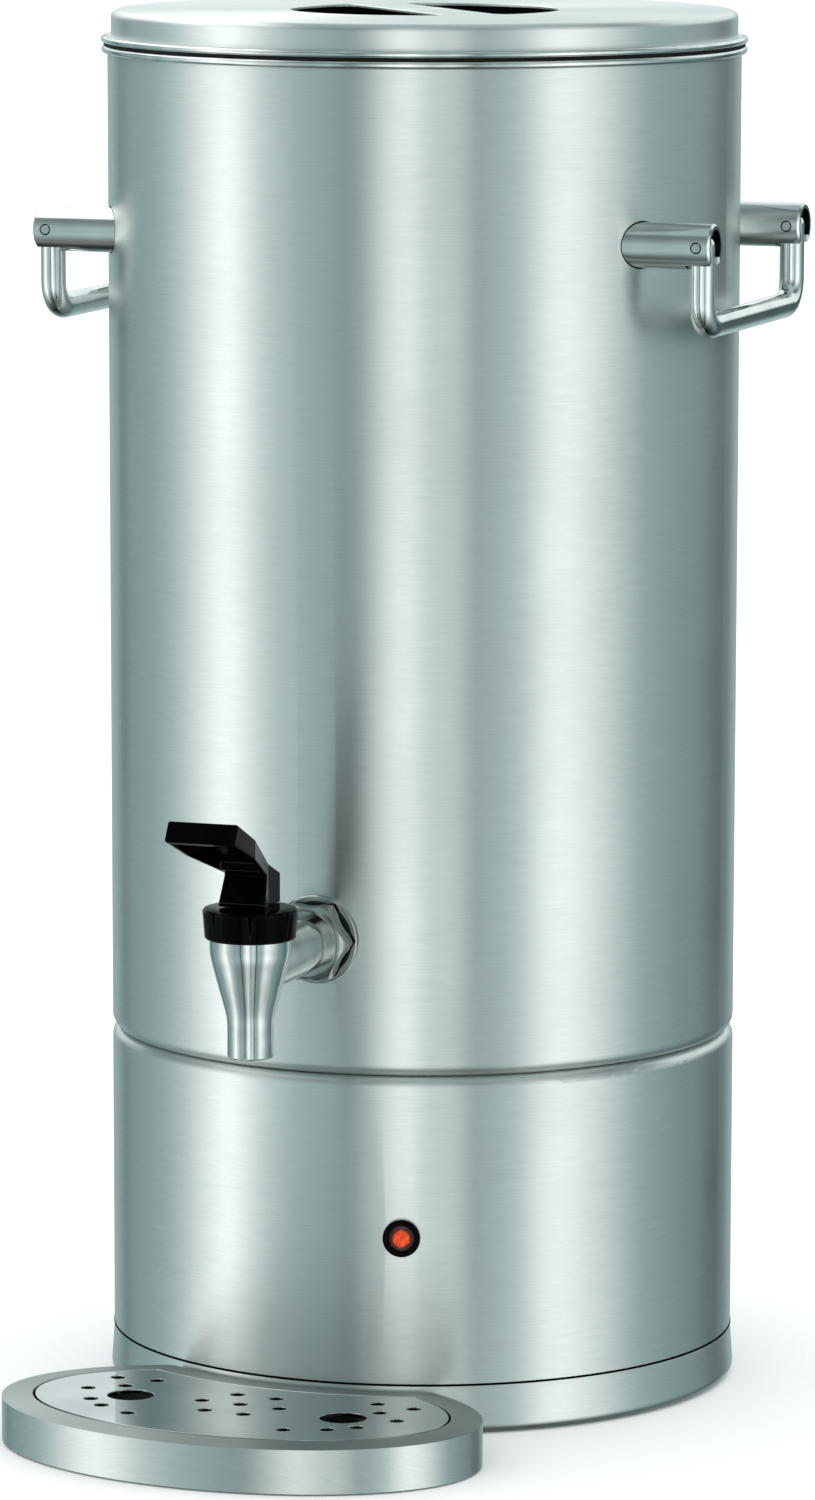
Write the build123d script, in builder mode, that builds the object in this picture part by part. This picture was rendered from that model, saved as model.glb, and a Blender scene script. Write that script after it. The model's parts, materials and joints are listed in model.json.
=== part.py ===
"""Hot water urn: a brushed steel tank on an electric base, with a self-closing tap,
two drop handles, a lift-off lid and a loose drip tray. Millimetres, +Z up.
The origin is on the tank's axis, level with the bottom of the feet, and the tap points along -Y."""

import os
from math import cos, radians, sin

from build123d import *

os.makedirs("parts", exist_ok=True)

# ---- driving dimensions: the body ----
BODY_R = 127.5  # outside of tank and base, 255 mm across
SHEET = 1.0  # tank and base steel
SEAM_Z = 145.0  # tank stands on the base here
RIM_Z = 543.8  # top of the tank's rolled rim
TANK_CORNER_R = 5.0
SHOULDER_R = 4.5
RIM_BEAD_R = 1.6
RIM_BEAD_CENTRE_R = BODY_R + 0.7
TANK_INNER_R = BODY_R - SHEET

# ---- base ----
PLINTH_Z = 20.0  # top of the foot ring
SEAM_GAP = 0.6
PLINTH_SHEET = 1.2
PLINTH_FLARE = 1.1
PLINTH_FOOT_Z = 1.0
PLATE_Z = 7.0  # top of the bottom plate
PLATE_T = 1.2
PLATE_R = 122.0
FLANGE_INNER_R = 112.0
FOOT_R = 10.0
FOOT_PCD_R = 96.0
SCREW_PCD_R = 117.0
FOUR = 4

# ---- lid ----
LID_GAP = 1.1
LID_TOP_Z = 557.8
LID_R = 126.0
LID_CORNER_R = 3.0
LID_BEAD_R = 1.3
LID_BEAD_CENTRE_R = 128.7
LID_SHEET = 1.0
SKIRT_R = LID_R - LID_SHEET
SKIRT_Z = 538.0
GRIP_R = 54.0  # finger openings lie inside this circle
BRIDGE_W = 22.0
BRIDGE_TURN = -49.0  # the loose lid stands turned by this much
CUP_WALL = 2.0
CUP_DEPTH = 22.0

# ---- drop handles ----
POST_Z = 470.8
POST_R = 9.0
POST_BORE_R = 6.8
POST_TIP_X = 142.0
HANDLE_HALF = 61.3  # from the middle of the handle to a post
PIVOT_X = 136.6
ROD_R = 5.0
BAIL_DROP = 31.8  # pivot to the grip bar
BAIL_BEND_R = 11.0
PIN_R = 2.0
RUN = 0.05  # running clearance on a radius
SLOT_HALF = ROD_R + 0.4

# ---- tap ----
TAP_REACH = 201.0  # tank axis to spout axis
SHANK_Z = 199.5
SHANK_R = 11.0
SHANK_BORE_R = 5.0
TAIL_R = 7.9
TAIL_END_Y = -112.0
SPOUT_Z = 165.0
SPOUT_R = 9.0
SPOUT_BORE_R = 6.5
CHAMBER_R = 11.5
CHAMBER_Z = 195.5
SEAT_Z = 198.0
NECK_R = 15.0
NECK_TOP_Z = 221.5
COLLAR_Z = 211.6
COLLAR_TOP_Z = 224.3
COLLAR_R_LOW = 17.7
COLLAR_R_TOP = 18.5
STEM_R = 3.0
LEVER_PIN_Z = 232.0
LEVER_PIN_R = 1.5
NUT_FLATS = 29.0
NUT_FRONT_Y = -141.0
NUT_FACE_R = 13.0  # flat front face of the domed nut
NUT_DOME_R = 16.8
NUT_DOME_DEPTH = 5.5
WASHER_R = 17.6
WASHER_FRONT_Y = -129.3
SEAL_R = 15.2
SEAL_FRONT_Y = -130.8

# ---- pilot lamp ----
LAMP_TURN = 15.6  # degrees round from the tap
LAMP_Z = 80.3
LAMP_R = 7.5
LAMP_LENS_R = 6.0

# ---- back of the base ----
KNOB_Z = 82.0
KNOB_R = 20.0
GLAND_TURN = 152.0
GLAND_Z = 47.0

# ---- drip tray ----
TRAY_TURN = -5.34  # the loose tray stands turned by this much
TRAY_REACH = 171.7
TRAY_A = 100.5
TRAY_B = 66.5
TRAY_BACK_R = BODY_R + PLINTH_FLARE + 1.4
TRAY_RIM_W = 12.6
TRAY_RIM_Z = 19.3
TRAY_EDGE_Z = 18.3
TRAY_SHEET = 1.2
TRAY_FOOT_Z = 0.8
DRIP_T = 1.5
TRAY_CORNER_R = 6.0


def write(builder, name):
    """Labels one finished piece and writes its STEP file."""
    builder.part.label = name
    export_step(builder.part, f"parts/{name}.step")


def radial(turn, z, r=BODY_R):
    """A plane on the body's side, facing outwards, turned from the tap direction."""
    a = radians(turn)
    return Plane(origin=(r * sin(a), -r * cos(a), z), x_dir=(cos(a), sin(a), 0), z_dir=(sin(a), -cos(a), 0))


# ================= tank =================
HEATER_R = 80.0
HEATER_TUBE_R = 4.0
HEATER_Z = 163.0
HEATER_BEND_R = 12.0
HEATER_OPEN = 24.0  # half the open angle of the loop
PROBE_X = 0.0
PROBE_Y = 40.0
PROBE_R = 3.0


def heater_leg():
    """Where the heater's right-hand leg goes down through the floor."""
    a = radians(90 - HEATER_OPEN)
    return (HEATER_R * cos(a) - HEATER_BEND_R * sin(a), HEATER_R * sin(a) + HEATER_BEND_R * cos(a))


LEG_X, LEG_Y = heater_leg()
HEATER_HOLE_R = 5.2
PROBE_HOLE_R = 4.1

with BuildPart() as tank_shell:
    with BuildSketch(Plane.XY.offset(SEAM_Z)):
        Circle(BODY_R)
    extrude(amount=RIM_Z - SEAM_Z - 0.4)
    fillet(tank_shell.edges().sort_by(Axis.Z)[0], TANK_CORNER_R)
    offset(amount=-SHEET, openings=tank_shell.faces().sort_by(Axis.Z)[-1])
    with Locations((0, 0, RIM_Z - RIM_BEAD_R)):
        Torus(RIM_BEAD_CENTRE_R, RIM_BEAD_R)
    with BuildSketch(Plane.XY.offset(SEAM_Z - 1)):
        with Locations((LEG_X, LEG_Y), (-LEG_X, LEG_Y)):
            Circle(HEATER_HOLE_R)
        with Locations((PROBE_X, PROBE_Y)):
            Circle(PROBE_HOLE_R)
    extrude(amount=10, mode=Mode.SUBTRACT)
    with BuildSketch(Plane(origin=(0, -BODY_R - 5, SHANK_Z), x_dir=(1, 0, 0), z_dir=(0, 1, 0))):
        Circle(TAIL_R + 0.3)
    extrude(amount=20, mode=Mode.SUBTRACT)
write(tank_shell, "tank_shell")

# ================= lid =================
with BuildPart() as lid_shell:
    with BuildSketch(Plane.XY.offset(RIM_Z + LID_GAP + LID_BEAD_R)):
        Circle(LID_R)
    extrude(amount=LID_TOP_Z - RIM_Z - LID_GAP - LID_BEAD_R)
    fillet(lid_shell.edges().sort_by(Axis.Z)[-1], LID_CORNER_R)
    offset(amount=-LID_SHEET, openings=lid_shell.faces().sort_by(Axis.Z)[0])
    with BuildSketch(Plane.XY.offset(RIM_Z + LID_GAP + LID_BEAD_R)):
        Circle(LID_BEAD_CENTRE_R)
        Circle(LID_R - 0.5, mode=Mode.SUBTRACT)
    extrude(amount=LID_SHEET)
    with Locations((0, 0, RIM_Z + LID_GAP + LID_BEAD_R)):
        Torus(LID_BEAD_CENTRE_R, LID_BEAD_R)
    with BuildSketch(Plane.XY.offset(LID_TOP_Z + 1)) as finger_openings:
        Circle(GRIP_R)
        Rectangle(2 * GRIP_R + 2, BRIDGE_W, rotation=BRIDGE_TURN, mode=Mode.SUBTRACT)
        fillet(finger_openings.vertices(), 5)
    extrude(amount=-LID_SHEET - 2, mode=Mode.SUBTRACT)
write(lid_shell, "lid_shell")

with BuildPart() as lid_skirt:
    with BuildSketch(Plane.XY.offset(SKIRT_Z)):
        Circle(SKIRT_R)
        Circle(SKIRT_R - LID_SHEET, mode=Mode.SUBTRACT)
    extrude(amount=LID_TOP_Z - LID_SHEET - LID_CORNER_R - SKIRT_Z)
write(lid_skirt, "lid_skirt")

with BuildPart() as lid_seal:
    with BuildSketch(Plane.XY.offset(RIM_Z)):
        Circle(LID_BEAD_CENTRE_R + 0.3)
        Circle(LID_BEAD_CENTRE_R - 1.7, mode=Mode.SUBTRACT)
    extrude(amount=LID_GAP)
write(lid_seal, "lid_seal")

CUP_TOP_Z = LID_TOP_Z - LID_SHEET
CUP_FLOOR_Z = CUP_TOP_Z - CUP_DEPTH
CUP_R = GRIP_R + 0.5 + CUP_WALL
with BuildPart() as lid_grip_cup:
    with BuildSketch(Plane.XY.offset(CUP_FLOOR_Z)):
        Circle(CUP_R)
    extrude(amount=CUP_DEPTH)
    fillet(lid_grip_cup.edges().sort_by(Axis.Z)[0], 6)
    offset(amount=-CUP_WALL, openings=lid_grip_cup.faces().sort_by(Axis.Z)[-1])
    with BuildSketch(Plane.XY.offset(CUP_TOP_Z - 1.6)):
        Circle(CUP_R + 5)
        Circle(CUP_R - 1, mode=Mode.SUBTRACT)
    extrude(amount=1.6)
write(lid_grip_cup, "lid_grip_cup")

# ================= base =================
HOUSING_LOW_Z = PLINTH_Z + SEAM_GAP
LIP_R = 108.0
with BuildPart() as base_housing:
    with BuildSketch(Plane.XY.offset(HOUSING_LOW_Z)):
        Circle(BODY_R)
    extrude(amount=SEAM_Z - HOUSING_LOW_Z)
    fillet(base_housing.edges().sort_by(Axis.Z)[-1], SHOULDER_R)
    offset(amount=-SHEET, openings=base_housing.faces().sort_by(Axis.Z)[0])
    with BuildSketch(Plane.XY.offset(SEAM_Z - 5)):
        Circle(LIP_R)
    extrude(amount=10, mode=Mode.SUBTRACT)
    for turn, z, hole_r in ((LAMP_TURN, LAMP_Z, 6.2), (180, KNOB_Z, 5.2), (GLAND_TURN, GLAND_Z, 8.2)):
        with BuildSketch(radial(turn, z).offset(-6)):
            Circle(hole_r)
        extrude(amount=12, mode=Mode.SUBTRACT)
write(base_housing, "base_housing")

PLINTH_R = BODY_R + PLINTH_FLARE
with BuildPart() as base_ring:
    with BuildSketch(Plane.XZ):
        with BuildLine():
            Polyline(
                (BODY_R - PLINTH_SHEET, PLINTH_Z),
                (BODY_R - 0.1, PLINTH_Z),
                (BODY_R + 0.1, PLINTH_Z - 1.5),
                (PLINTH_R, 4.5),
            )
            ThreePointArc((PLINTH_R, 4.5), (PLINTH_R - 0.9, 2.0), (PLINTH_R - 3.5, PLINTH_FOOT_Z))
            Polyline(
                (PLINTH_R - 3.5, PLINTH_FOOT_Z),
                (PLINTH_R - 3.5, PLINTH_FOOT_Z + PLINTH_SHEET),
                (BODY_R - 1.6, 4.5),
                (BODY_R - 1.6, PLATE_Z),
                (FLANGE_INNER_R, PLATE_Z),
                (FLANGE_INNER_R, PLATE_Z + PLINTH_SHEET),
                (BODY_R - 2.4, PLATE_Z + PLINTH_SHEET),
                (BODY_R - 2.4, PLINTH_Z + 12),
                (BODY_R - PLINTH_SHEET, PLINTH_Z + 12),
                (BODY_R - PLINTH_SHEET, PLINTH_Z),
            )
        make_face()
    revolve(axis=Axis.Z)
    with BuildSketch(Plane.XY.offset(PLATE_Z - 1)):
        with PolarLocations(SCREW_PCD_R, FOUR, start_angle=45):
            Circle(PIN_R)
    extrude(amount=4, mode=Mode.SUBTRACT)
write(base_ring, "base_ring")

with BuildPart() as bottom_plate:
    with BuildSketch(Plane.XY.offset(PLATE_Z - PLATE_T)):
        Circle(PLATE_R)
        with PolarLocations(SCREW_PCD_R, FOUR, start_angle=45):
            Circle(PIN_R, mode=Mode.SUBTRACT)
        with PolarLocations(FOOT_PCD_R, FOUR):
            Circle(PIN_R, mode=Mode.SUBTRACT)
        for slot_row in (-20, -10, 0, 10, 20):
            with Locations((0, slot_row)):
                SlotOverall(50, 3, mode=Mode.SUBTRACT)
    extrude(amount=PLATE_T)
write(bottom_plate, "bottom_plate")

with BuildPart() as bottom_screws:
    with BuildSketch(Plane.XY.offset(PLATE_Z - PLATE_T - 2.2)):
        with PolarLocations(SCREW_PCD_R, FOUR, start_angle=45):
            Circle(3.6)
    extrude(amount=2.2)
    fillet(bottom_screws.edges().group_by(Axis.Z)[0], 1.0)
    with BuildSketch(Plane.XY.offset(PLATE_Z - PLATE_T)):
        with PolarLocations(SCREW_PCD_R, FOUR, start_angle=45):
            Circle(PIN_R)
    extrude(amount=8)
    with BuildSketch(Plane.XY.offset(PLATE_Z - PLATE_T - 2.2)):
        with PolarLocations(SCREW_PCD_R, FOUR, start_angle=45):
            Rectangle(4.0, 0.9)
            Rectangle(0.9, 4.0)
    extrude(amount=1.2, mode=Mode.SUBTRACT)
write(bottom_screws, "bottom_screws")

with BuildPart() as rubber_feet:
    with BuildSketch():
        with PolarLocations(FOOT_PCD_R, FOUR):
            Circle(FOOT_R)
    extrude(amount=PLATE_Z - PLATE_T, taper=-4)
    with BuildSketch(Plane.XY.offset(PLATE_Z - PLATE_T)):
        with PolarLocations(FOOT_PCD_R, FOUR):
            Circle(PIN_R)
    extrude(amount=4)
    with BuildSketch():
        with PolarLocations(FOOT_PCD_R, FOUR):
            Circle(4)
    extrude(amount=2.5, mode=Mode.SUBTRACT)
write(rubber_feet, "rubber_feet")


# ================= drop handles =================
def make_post(side, end):
    """A slotted tube welded to the tank's side. side is +1 at +X, end is +1 at +Y."""
    y = end * HANDLE_HALF
    with BuildPart() as post:
        with BuildSketch(Plane(origin=(side * 90, y, POST_Z), x_dir=(0, side, 0), z_dir=(side, 0, 0))):
            Circle(POST_R)
        extrude(amount=POST_TIP_X - 90)
        chamfer(post.edges().filter_by(GeomType.CIRCLE).group_by(Axis.X)[-1 if side > 0 else 0], 0.8)
        with BuildSketch(Plane(origin=(side * 90, y, POST_Z), x_dir=(0, side, 0), z_dir=(side, 0, 0))):
            Circle(POST_BORE_R)
        extrude(amount=POST_TIP_X - 90 + 2, mode=Mode.SUBTRACT)
        Cylinder(BODY_R, 2 * RIM_Z, mode=Mode.SUBTRACT)
        slot_x = PIVOT_X - SLOT_HALF
        with Locations((side * (slot_x + 10), y, POST_Z - 10)):
            Box(20, 2 * SLOT_HALF, 20, mode=Mode.SUBTRACT)
        with BuildSketch(Plane.XZ.offset(-y - 20)):
            with Locations((side * PIVOT_X, POST_Z)):
                Circle(PIN_R)
        extrude(amount=40, mode=Mode.SUBTRACT)
    return post


def make_pin(side, end):
    """A slotted cross pin, flush with the post, that the bail turns on."""
    y = end * HANDLE_HALF
    half = POST_R - 0.1
    with BuildPart() as pin:
        with BuildSketch(Plane.XZ.offset(-y - half)):
            with Locations((side * PIVOT_X, POST_Z)):
                Circle(PIN_R)
        extrude(amount=2 * half)
        chamfer(pin.edges().filter_by(GeomType.CIRCLE), 0.3)
        with Locations((side * PIVOT_X, y - half, POST_Z), (side * PIVOT_X, y + half, POST_Z)):
            Box(0.8, 1.6, 4.4, rotation=(0, 35, 0), mode=Mode.SUBTRACT)
    return pin


def make_bail(side):
    """The round bar that hangs between two posts, with a ball end on each pin."""
    x = side * PIVOT_X
    with BuildPart() as bail:
        with BuildLine(Plane(origin=(x, 0, POST_Z), x_dir=(0, 1, 0), z_dir=(1, 0, 0))) as route:
            FilletPolyline(
                (-HANDLE_HALF, 0),
                (-HANDLE_HALF, -BAIL_DROP),
                (HANDLE_HALF, -BAIL_DROP),
                (HANDLE_HALF, 0),
                radius=BAIL_BEND_R,
            )
        with BuildSketch(Plane(origin=(x, -HANDLE_HALF, POST_Z), x_dir=(1, 0, 0), z_dir=(0, 0, -1))):
            Circle(ROD_R)
        sweep(path=route.wire())
        with Locations((x, -HANDLE_HALF, POST_Z), (x, HANDLE_HALF, POST_Z)):
            Sphere(ROD_R)
        with BuildSketch(Plane.XZ.offset(-2 * HANDLE_HALF)):
            with Locations((x, POST_Z)):
                Circle(PIN_R + RUN)
        extrude(amount=4 * HANDLE_HALF, mode=Mode.SUBTRACT)
    return bail


for side_name, side in (("left", -1), ("right", 1)):
    for end_name, end in (("front", -1), ("back", 1)):
        write(make_post(side, end), f"handle_post_{side_name}_{end_name}")
        write(make_pin(side, end), f"handle_pin_{side_name}_{end_name}")
    write(make_bail(side), f"handle_bail_{side_name}")

# ================= tap =================
TAP_PLANE = Plane(origin=(0, -TAP_REACH, 0), x_dir=(1, 0, 0), z_dir=(0, -1, 0))
TAP_AXIS = Axis((0, -TAP_REACH, 0), (0, 0, 1))
# radius of the spout's outside at a few heights, from its tip to below the collar
SPOUT_PROFILE = [(SPOUT_R, 177.0), (10.5, 185.6), (12.7, 193.6), (14.8, 201.6), (15.8, 208.8)]


def along_y(y):
    """A plane square to the shank, at y, facing the tank."""
    return Plane(origin=(0, y, SHANK_Z), x_dir=(1, 0, 0), z_dir=(0, 1, 0))


with BuildPart() as tap_body:
    with BuildSketch(TAP_PLANE):
        with BuildLine():
            Polyline((0, SPOUT_Z), (SPOUT_R - 0.5, SPOUT_Z), (SPOUT_R, SPOUT_Z + 0.5), SPOUT_PROFILE[0])
            Spline(SPOUT_PROFILE, tangents=((0, 1), (0, 1)))
            Polyline(
                SPOUT_PROFILE[-1],
                (15.8, COLLAR_Z),
                (NECK_R, COLLAR_Z),
                (NECK_R, NECK_TOP_Z),
                (0, NECK_TOP_Z),
                (0, SPOUT_Z),
            )
        make_face()
    revolve(axis=TAP_AXIS)
    with BuildSketch(along_y(-TAP_REACH)):
        Circle(SHANK_R)
    extrude(amount=TAP_REACH + NUT_FRONT_Y)
    with BuildSketch(along_y(NUT_FRONT_Y)):
        Circle(TAIL_R)
    extrude(amount=TAIL_END_Y - NUT_FRONT_Y)
    with BuildSketch(TAP_PLANE):
        with BuildLine():
            Polyline(
                (0, SPOUT_Z - 1),
                (SPOUT_BORE_R, SPOUT_Z - 1),
                (SPOUT_BORE_R, SEAT_Z),
                (SPOUT_BORE_R + 1.5, SEAT_Z),
                (SPOUT_BORE_R + 1.5, CHAMBER_Z),
                (CHAMBER_R, CHAMBER_Z),
                (CHAMBER_R, NECK_TOP_Z + 1),
                (0, NECK_TOP_Z + 1),
                (0, SPOUT_Z - 1),
            )
        make_face()
    revolve(axis=TAP_AXIS, mode=Mode.SUBTRACT)
    with BuildSketch(along_y(-TAP_REACH + CHAMBER_R - 2)):
        Circle(SHANK_BORE_R)
    extrude(amount=TAP_REACH, mode=Mode.SUBTRACT)
write(tap_body, "tap_body")

with BuildPart() as tap_hex_nut:
    with BuildSketch(along_y(NUT_FRONT_Y)):
        RegularPolygon(NUT_FLATS / 2, 6, major_radius=False)
    extrude(amount=SEAL_FRONT_Y - NUT_FRONT_Y)
    # the front corners are turned to a dome
    with BuildSketch(Plane(origin=(0, 0, SHANK_Z), x_dir=(1, 0, 0), z_dir=(0, 0, 1))):
        with BuildLine():
            Polyline((NUT_FACE_R, NUT_FRONT_Y - 1), (NUT_FACE_R, NUT_FRONT_Y))
            ThreePointArc(
                (NUT_FACE_R, NUT_FRONT_Y),
                (NUT_DOME_R - 1.2, NUT_FRONT_Y + 0.4 * NUT_DOME_DEPTH),
                (NUT_DOME_R, NUT_FRONT_Y + NUT_DOME_DEPTH),
            )
            Polyline(
                (NUT_DOME_R, NUT_FRONT_Y + NUT_DOME_DEPTH),
                (20, NUT_FRONT_Y + NUT_DOME_DEPTH),
                (20, NUT_FRONT_Y - 1),
                (NUT_FACE_R, NUT_FRONT_Y - 1),
            )
        make_face()
    revolve(axis=Axis((0, 0, SHANK_Z), (0, 1, 0)), mode=Mode.SUBTRACT)
    with BuildSketch(along_y(NUT_FRONT_Y)):
        Circle(TAIL_R)
    extrude(amount=20, mode=Mode.SUBTRACT)
write(tap_hex_nut, "tap_hex_nut")

with BuildPart() as tap_outer_seal:
    with BuildSketch(along_y(SEAL_FRONT_Y)):
        Circle(SEAL_R)
        Circle(TAIL_R, mode=Mode.SUBTRACT)
    extrude(amount=WASHER_FRONT_Y - SEAL_FRONT_Y)
write(tap_outer_seal, "tap_outer_seal")

# The washer's flat face carries the seal, its back is curved to the tank.
with BuildPart() as tap_washer:
    with BuildSketch(along_y(WASHER_FRONT_Y)):
        Circle(WASHER_R)
        Circle(TAIL_R, mode=Mode.SUBTRACT)
    extrude(amount=8)
    chamfer(tap_washer.edges().sort_by(Axis.Y)[:2].sort_by(SortBy.LENGTH)[-1], 0.4)
    Cylinder(BODY_R, 2 * RIM_Z, mode=Mode.SUBTRACT)
write(tap_washer, "tap_washer")

INNER_SEAL_Y = -122.6
with BuildPart() as tap_inner_seal:
    Cylinder(TANK_INNER_R, 2 * RIM_Z)
    with BuildSketch(along_y(-BODY_R - 2)):
        Circle(14)
        Circle(TAIL_R, mode=Mode.SUBTRACT)
    extrude(amount=INNER_SEAL_Y + BODY_R + 2, mode=Mode.INTERSECT)
write(tap_inner_seal, "tap_inner_seal")

with BuildPart() as tap_lock_nut:
    with BuildSketch(along_y(INNER_SEAL_Y)):
        RegularPolygon(12.0, 6, major_radius=False)
        Circle(TAIL_R, mode=Mode.SUBTRACT)
    extrude(amount=6)
write(tap_lock_nut, "tap_lock_nut")

FLUTES = 7
FLUTE_TURN = 20.6  # degrees from the front to the first flute
FLUTE_DEPTH = 1.7
FLUTE_HALF = 1.8
with BuildPart() as tap_collar:
    with BuildSketch(TAP_PLANE):
        with BuildLine():
            Polyline(
                (STEM_R + 0.6, COLLAR_TOP_Z),
                (COLLAR_R_TOP - 5, COLLAR_TOP_Z),
                (COLLAR_R_TOP - 0.8, COLLAR_TOP_Z - 0.9),
                (COLLAR_R_TOP, COLLAR_TOP_Z - 1.8),
                (COLLAR_R_LOW, COLLAR_Z + 0.6),
                (COLLAR_R_LOW - 0.6, COLLAR_Z),
                (NECK_R, COLLAR_Z),
                (NECK_R, NECK_TOP_Z),
                (STEM_R + 0.6, NECK_TOP_Z),
                (STEM_R + 0.6, COLLAR_TOP_Z),
            )
        make_face()
    revolve(axis=TAP_AXIS)
    # V flutes for the fingers, deepest at the top edge and running out near the bottom
    for flute in range(FLUTES):
        turn = radians(FLUTE_TURN + 360 * flute / FLUTES)
        spoke = (sin(turn), -cos(turn), 0)
        with BuildSketch(Plane(origin=(0, -TAP_REACH, COLLAR_TOP_Z + 0.1), x_dir=spoke, z_dir=(0, 0, 1))):
            Polygon(
                (COLLAR_R_TOP - FLUTE_DEPTH, 0),
                (COLLAR_R_TOP + 0.6, -FLUTE_HALF),
                (COLLAR_R_TOP + 0.6, FLUTE_HALF),
                align=None,
            )
        with BuildSketch(Plane(origin=(0, -TAP_REACH, COLLAR_Z + 1.5), x_dir=spoke, z_dir=(0, 0, 1))):
            Polygon((COLLAR_R_LOW, 0), (COLLAR_R_LOW + 0.4, -0.3), (COLLAR_R_LOW + 0.4, 0.3), align=None)
        loft(mode=Mode.SUBTRACT)
write(tap_collar, "tap_collar")

# The lever, as a side outline (y, z) cut to a plan that widens towards the finger end.
LEVER_BACK_Y = -189.4
LEVER_LOW_Z = COLLAR_TOP_Z + 0.35
LEVER_HALF = 8.2
LEVER_TIP_HALF = 14.2
FLARE_FROM_Y = -203.0
FLARE_TO_Y = -233.0
LEVER_SIDE = [
    (LEVER_BACK_Y, LEVER_LOW_Z),
    (LEVER_BACK_Y, 236.0),
    (-199.0, 239.9),
    (-228.0, 253.4),
    (-251.5, 263.9),
    (-256.0, 256.5),
    (-206.2, 237.2),
    (-210.8, 226.2),
    (-209.6, LEVER_LOW_Z),
]
HOLLOW_SIDE = [(-211.5, 230.0), (-211.5, 242.6), (-230.0, 250.8), (-250.8, 257.2), (-254.0, 252.0)]
HOLLOW_EDGE = 1.7
# Room for the stem through the lever's whole tilt, closed at the front.
SLOT_SIDE = [(-208.4, 224.0), (-204.5, 232.0), (-204.3, 236.4), (-196.2, 236.4), (-197.5, 224.0)]
LEVER_SLOT_HALF = STEM_R + 0.4
PIN_HALF = 7.0
SIDE_PLANE = Plane(origin=(0, 0, 0), x_dir=(0, 1, 0), z_dir=(1, 0, 0))


def lever_plan(inset):
    """Half outline points of the lever's plan, mirrored, drawn inwards by inset."""
    right = [
        (LEVER_HALF - inset, LEVER_BACK_Y),
        (LEVER_HALF - inset, FLARE_FROM_Y),
        (LEVER_TIP_HALF - inset, FLARE_TO_Y),
        (LEVER_TIP_HALF - inset, -258.0),
    ]
    return right + [(-x, y) for x, y in reversed(right)]


with BuildPart() as lever_hollow:
    with BuildSketch(SIDE_PLANE):
        with BuildLine():
            Polyline(*HOLLOW_SIDE, close=True)
        make_face()
    extrude(amount=20, both=True)
    with BuildSketch(Plane.XY.offset(LEVER_LOW_Z - 5)):
        with BuildLine():
            Polyline(*lever_plan(HOLLOW_EDGE), close=True)
        make_face()
    extrude(amount=60, mode=Mode.INTERSECT)

with BuildPart() as tap_lever:
    with BuildSketch(SIDE_PLANE):
        with BuildLine():
            Polyline(*LEVER_SIDE, close=True)
        make_face()
    extrude(amount=20, both=True)
    with BuildSketch(Plane.XY.offset(LEVER_LOW_Z - 5)):
        with BuildLine():
            Polyline(*lever_plan(0), close=True)
        make_face()
    extrude(amount=60, mode=Mode.INTERSECT)
    fillet(tap_lever.edges().filter_by(lambda e: e.center().Z > LEVER_LOW_Z + 3), 0.9)
    # moulded hollow under the finger end
    add(lever_hollow.part, mode=Mode.SUBTRACT)
    with BuildSketch(SIDE_PLANE):
        with BuildLine():
            Polyline(*SLOT_SIDE, close=True)
        make_face()
    extrude(amount=LEVER_SLOT_HALF, both=True, mode=Mode.SUBTRACT)
    with BuildSketch(SIDE_PLANE):
        with Locations((-TAP_REACH, LEVER_PIN_Z)):
            Circle(LEVER_PIN_R + RUN)
    extrude(amount=PIN_HALF, both=True, mode=Mode.SUBTRACT)
write(tap_lever, "tap_lever")

with BuildPart() as tap_lever_pin:
    with BuildSketch(SIDE_PLANE):
        with Locations((-TAP_REACH, LEVER_PIN_Z)):
            Circle(LEVER_PIN_R)
    extrude(amount=PIN_HALF, both=True)
    chamfer(tap_lever_pin.edges().filter_by(GeomType.CIRCLE), 0.2)
write(tap_lever_pin, "tap_lever_pin")

CUP_SEAT_Z = SEAT_Z + 0.1
CUP_HEAD_Z = 207.0
with BuildPart() as tap_stem:
    with BuildSketch(Plane.XY.offset(201.0)):
        with Locations((0, -TAP_REACH)):
            Circle(STEM_R)
    extrude(amount=LEVER_PIN_Z + STEM_R - 201.0)
    with BuildSketch(Plane.XY.offset(CUP_HEAD_Z)):
        with Locations((0, -TAP_REACH)):
            Circle(6.5)
    extrude(amount=1.2)
    with BuildSketch(SIDE_PLANE.offset(-20)):
        with Locations((-TAP_REACH, LEVER_PIN_Z)):
            Circle(LEVER_PIN_R)
    extrude(amount=40, mode=Mode.SUBTRACT)
write(tap_stem, "tap_stem")

with BuildPart() as tap_seat_cup:
    with BuildSketch(TAP_PLANE):
        with BuildLine():
            Polyline((0, CUP_SEAT_Z), (8.6, CUP_SEAT_Z), (9.2, CUP_SEAT_Z + 1.0), (8.8, 201.5))
            ThreePointArc((8.8, 201.5), (7.2, 204.0), (5.0, CUP_HEAD_Z))
            Polyline((5.0, CUP_HEAD_Z), (STEM_R, CUP_HEAD_Z), (STEM_R, 201.0), (0, 201.0), (0, CUP_SEAT_Z))
        make_face()
    revolve(axis=TAP_AXIS)
write(tap_seat_cup, "tap_seat_cup")

SPRING_LOW_Z = CUP_HEAD_Z + 1.2
SPRING_WIRE_R = 0.6
SPRING_R = 5.2
SPRING_TURNS = 5
with BuildPart() as tap_spring:
    spring_height = NECK_TOP_Z - SPRING_LOW_Z - 2 * SPRING_WIRE_R - 0.2
    with BuildLine(Plane(origin=(0, -TAP_REACH, SPRING_LOW_Z + SPRING_WIRE_R + 0.1))) as coil:
        Helix(pitch=spring_height / SPRING_TURNS, height=spring_height, radius=SPRING_R)
    with BuildSketch(Plane(origin=coil.line @ 0, z_dir=coil.line % 0)):
        Circle(SPRING_WIRE_R)
    sweep(path=coil.line, is_frenet=True)
write(tap_spring, "tap_spring")

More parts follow.
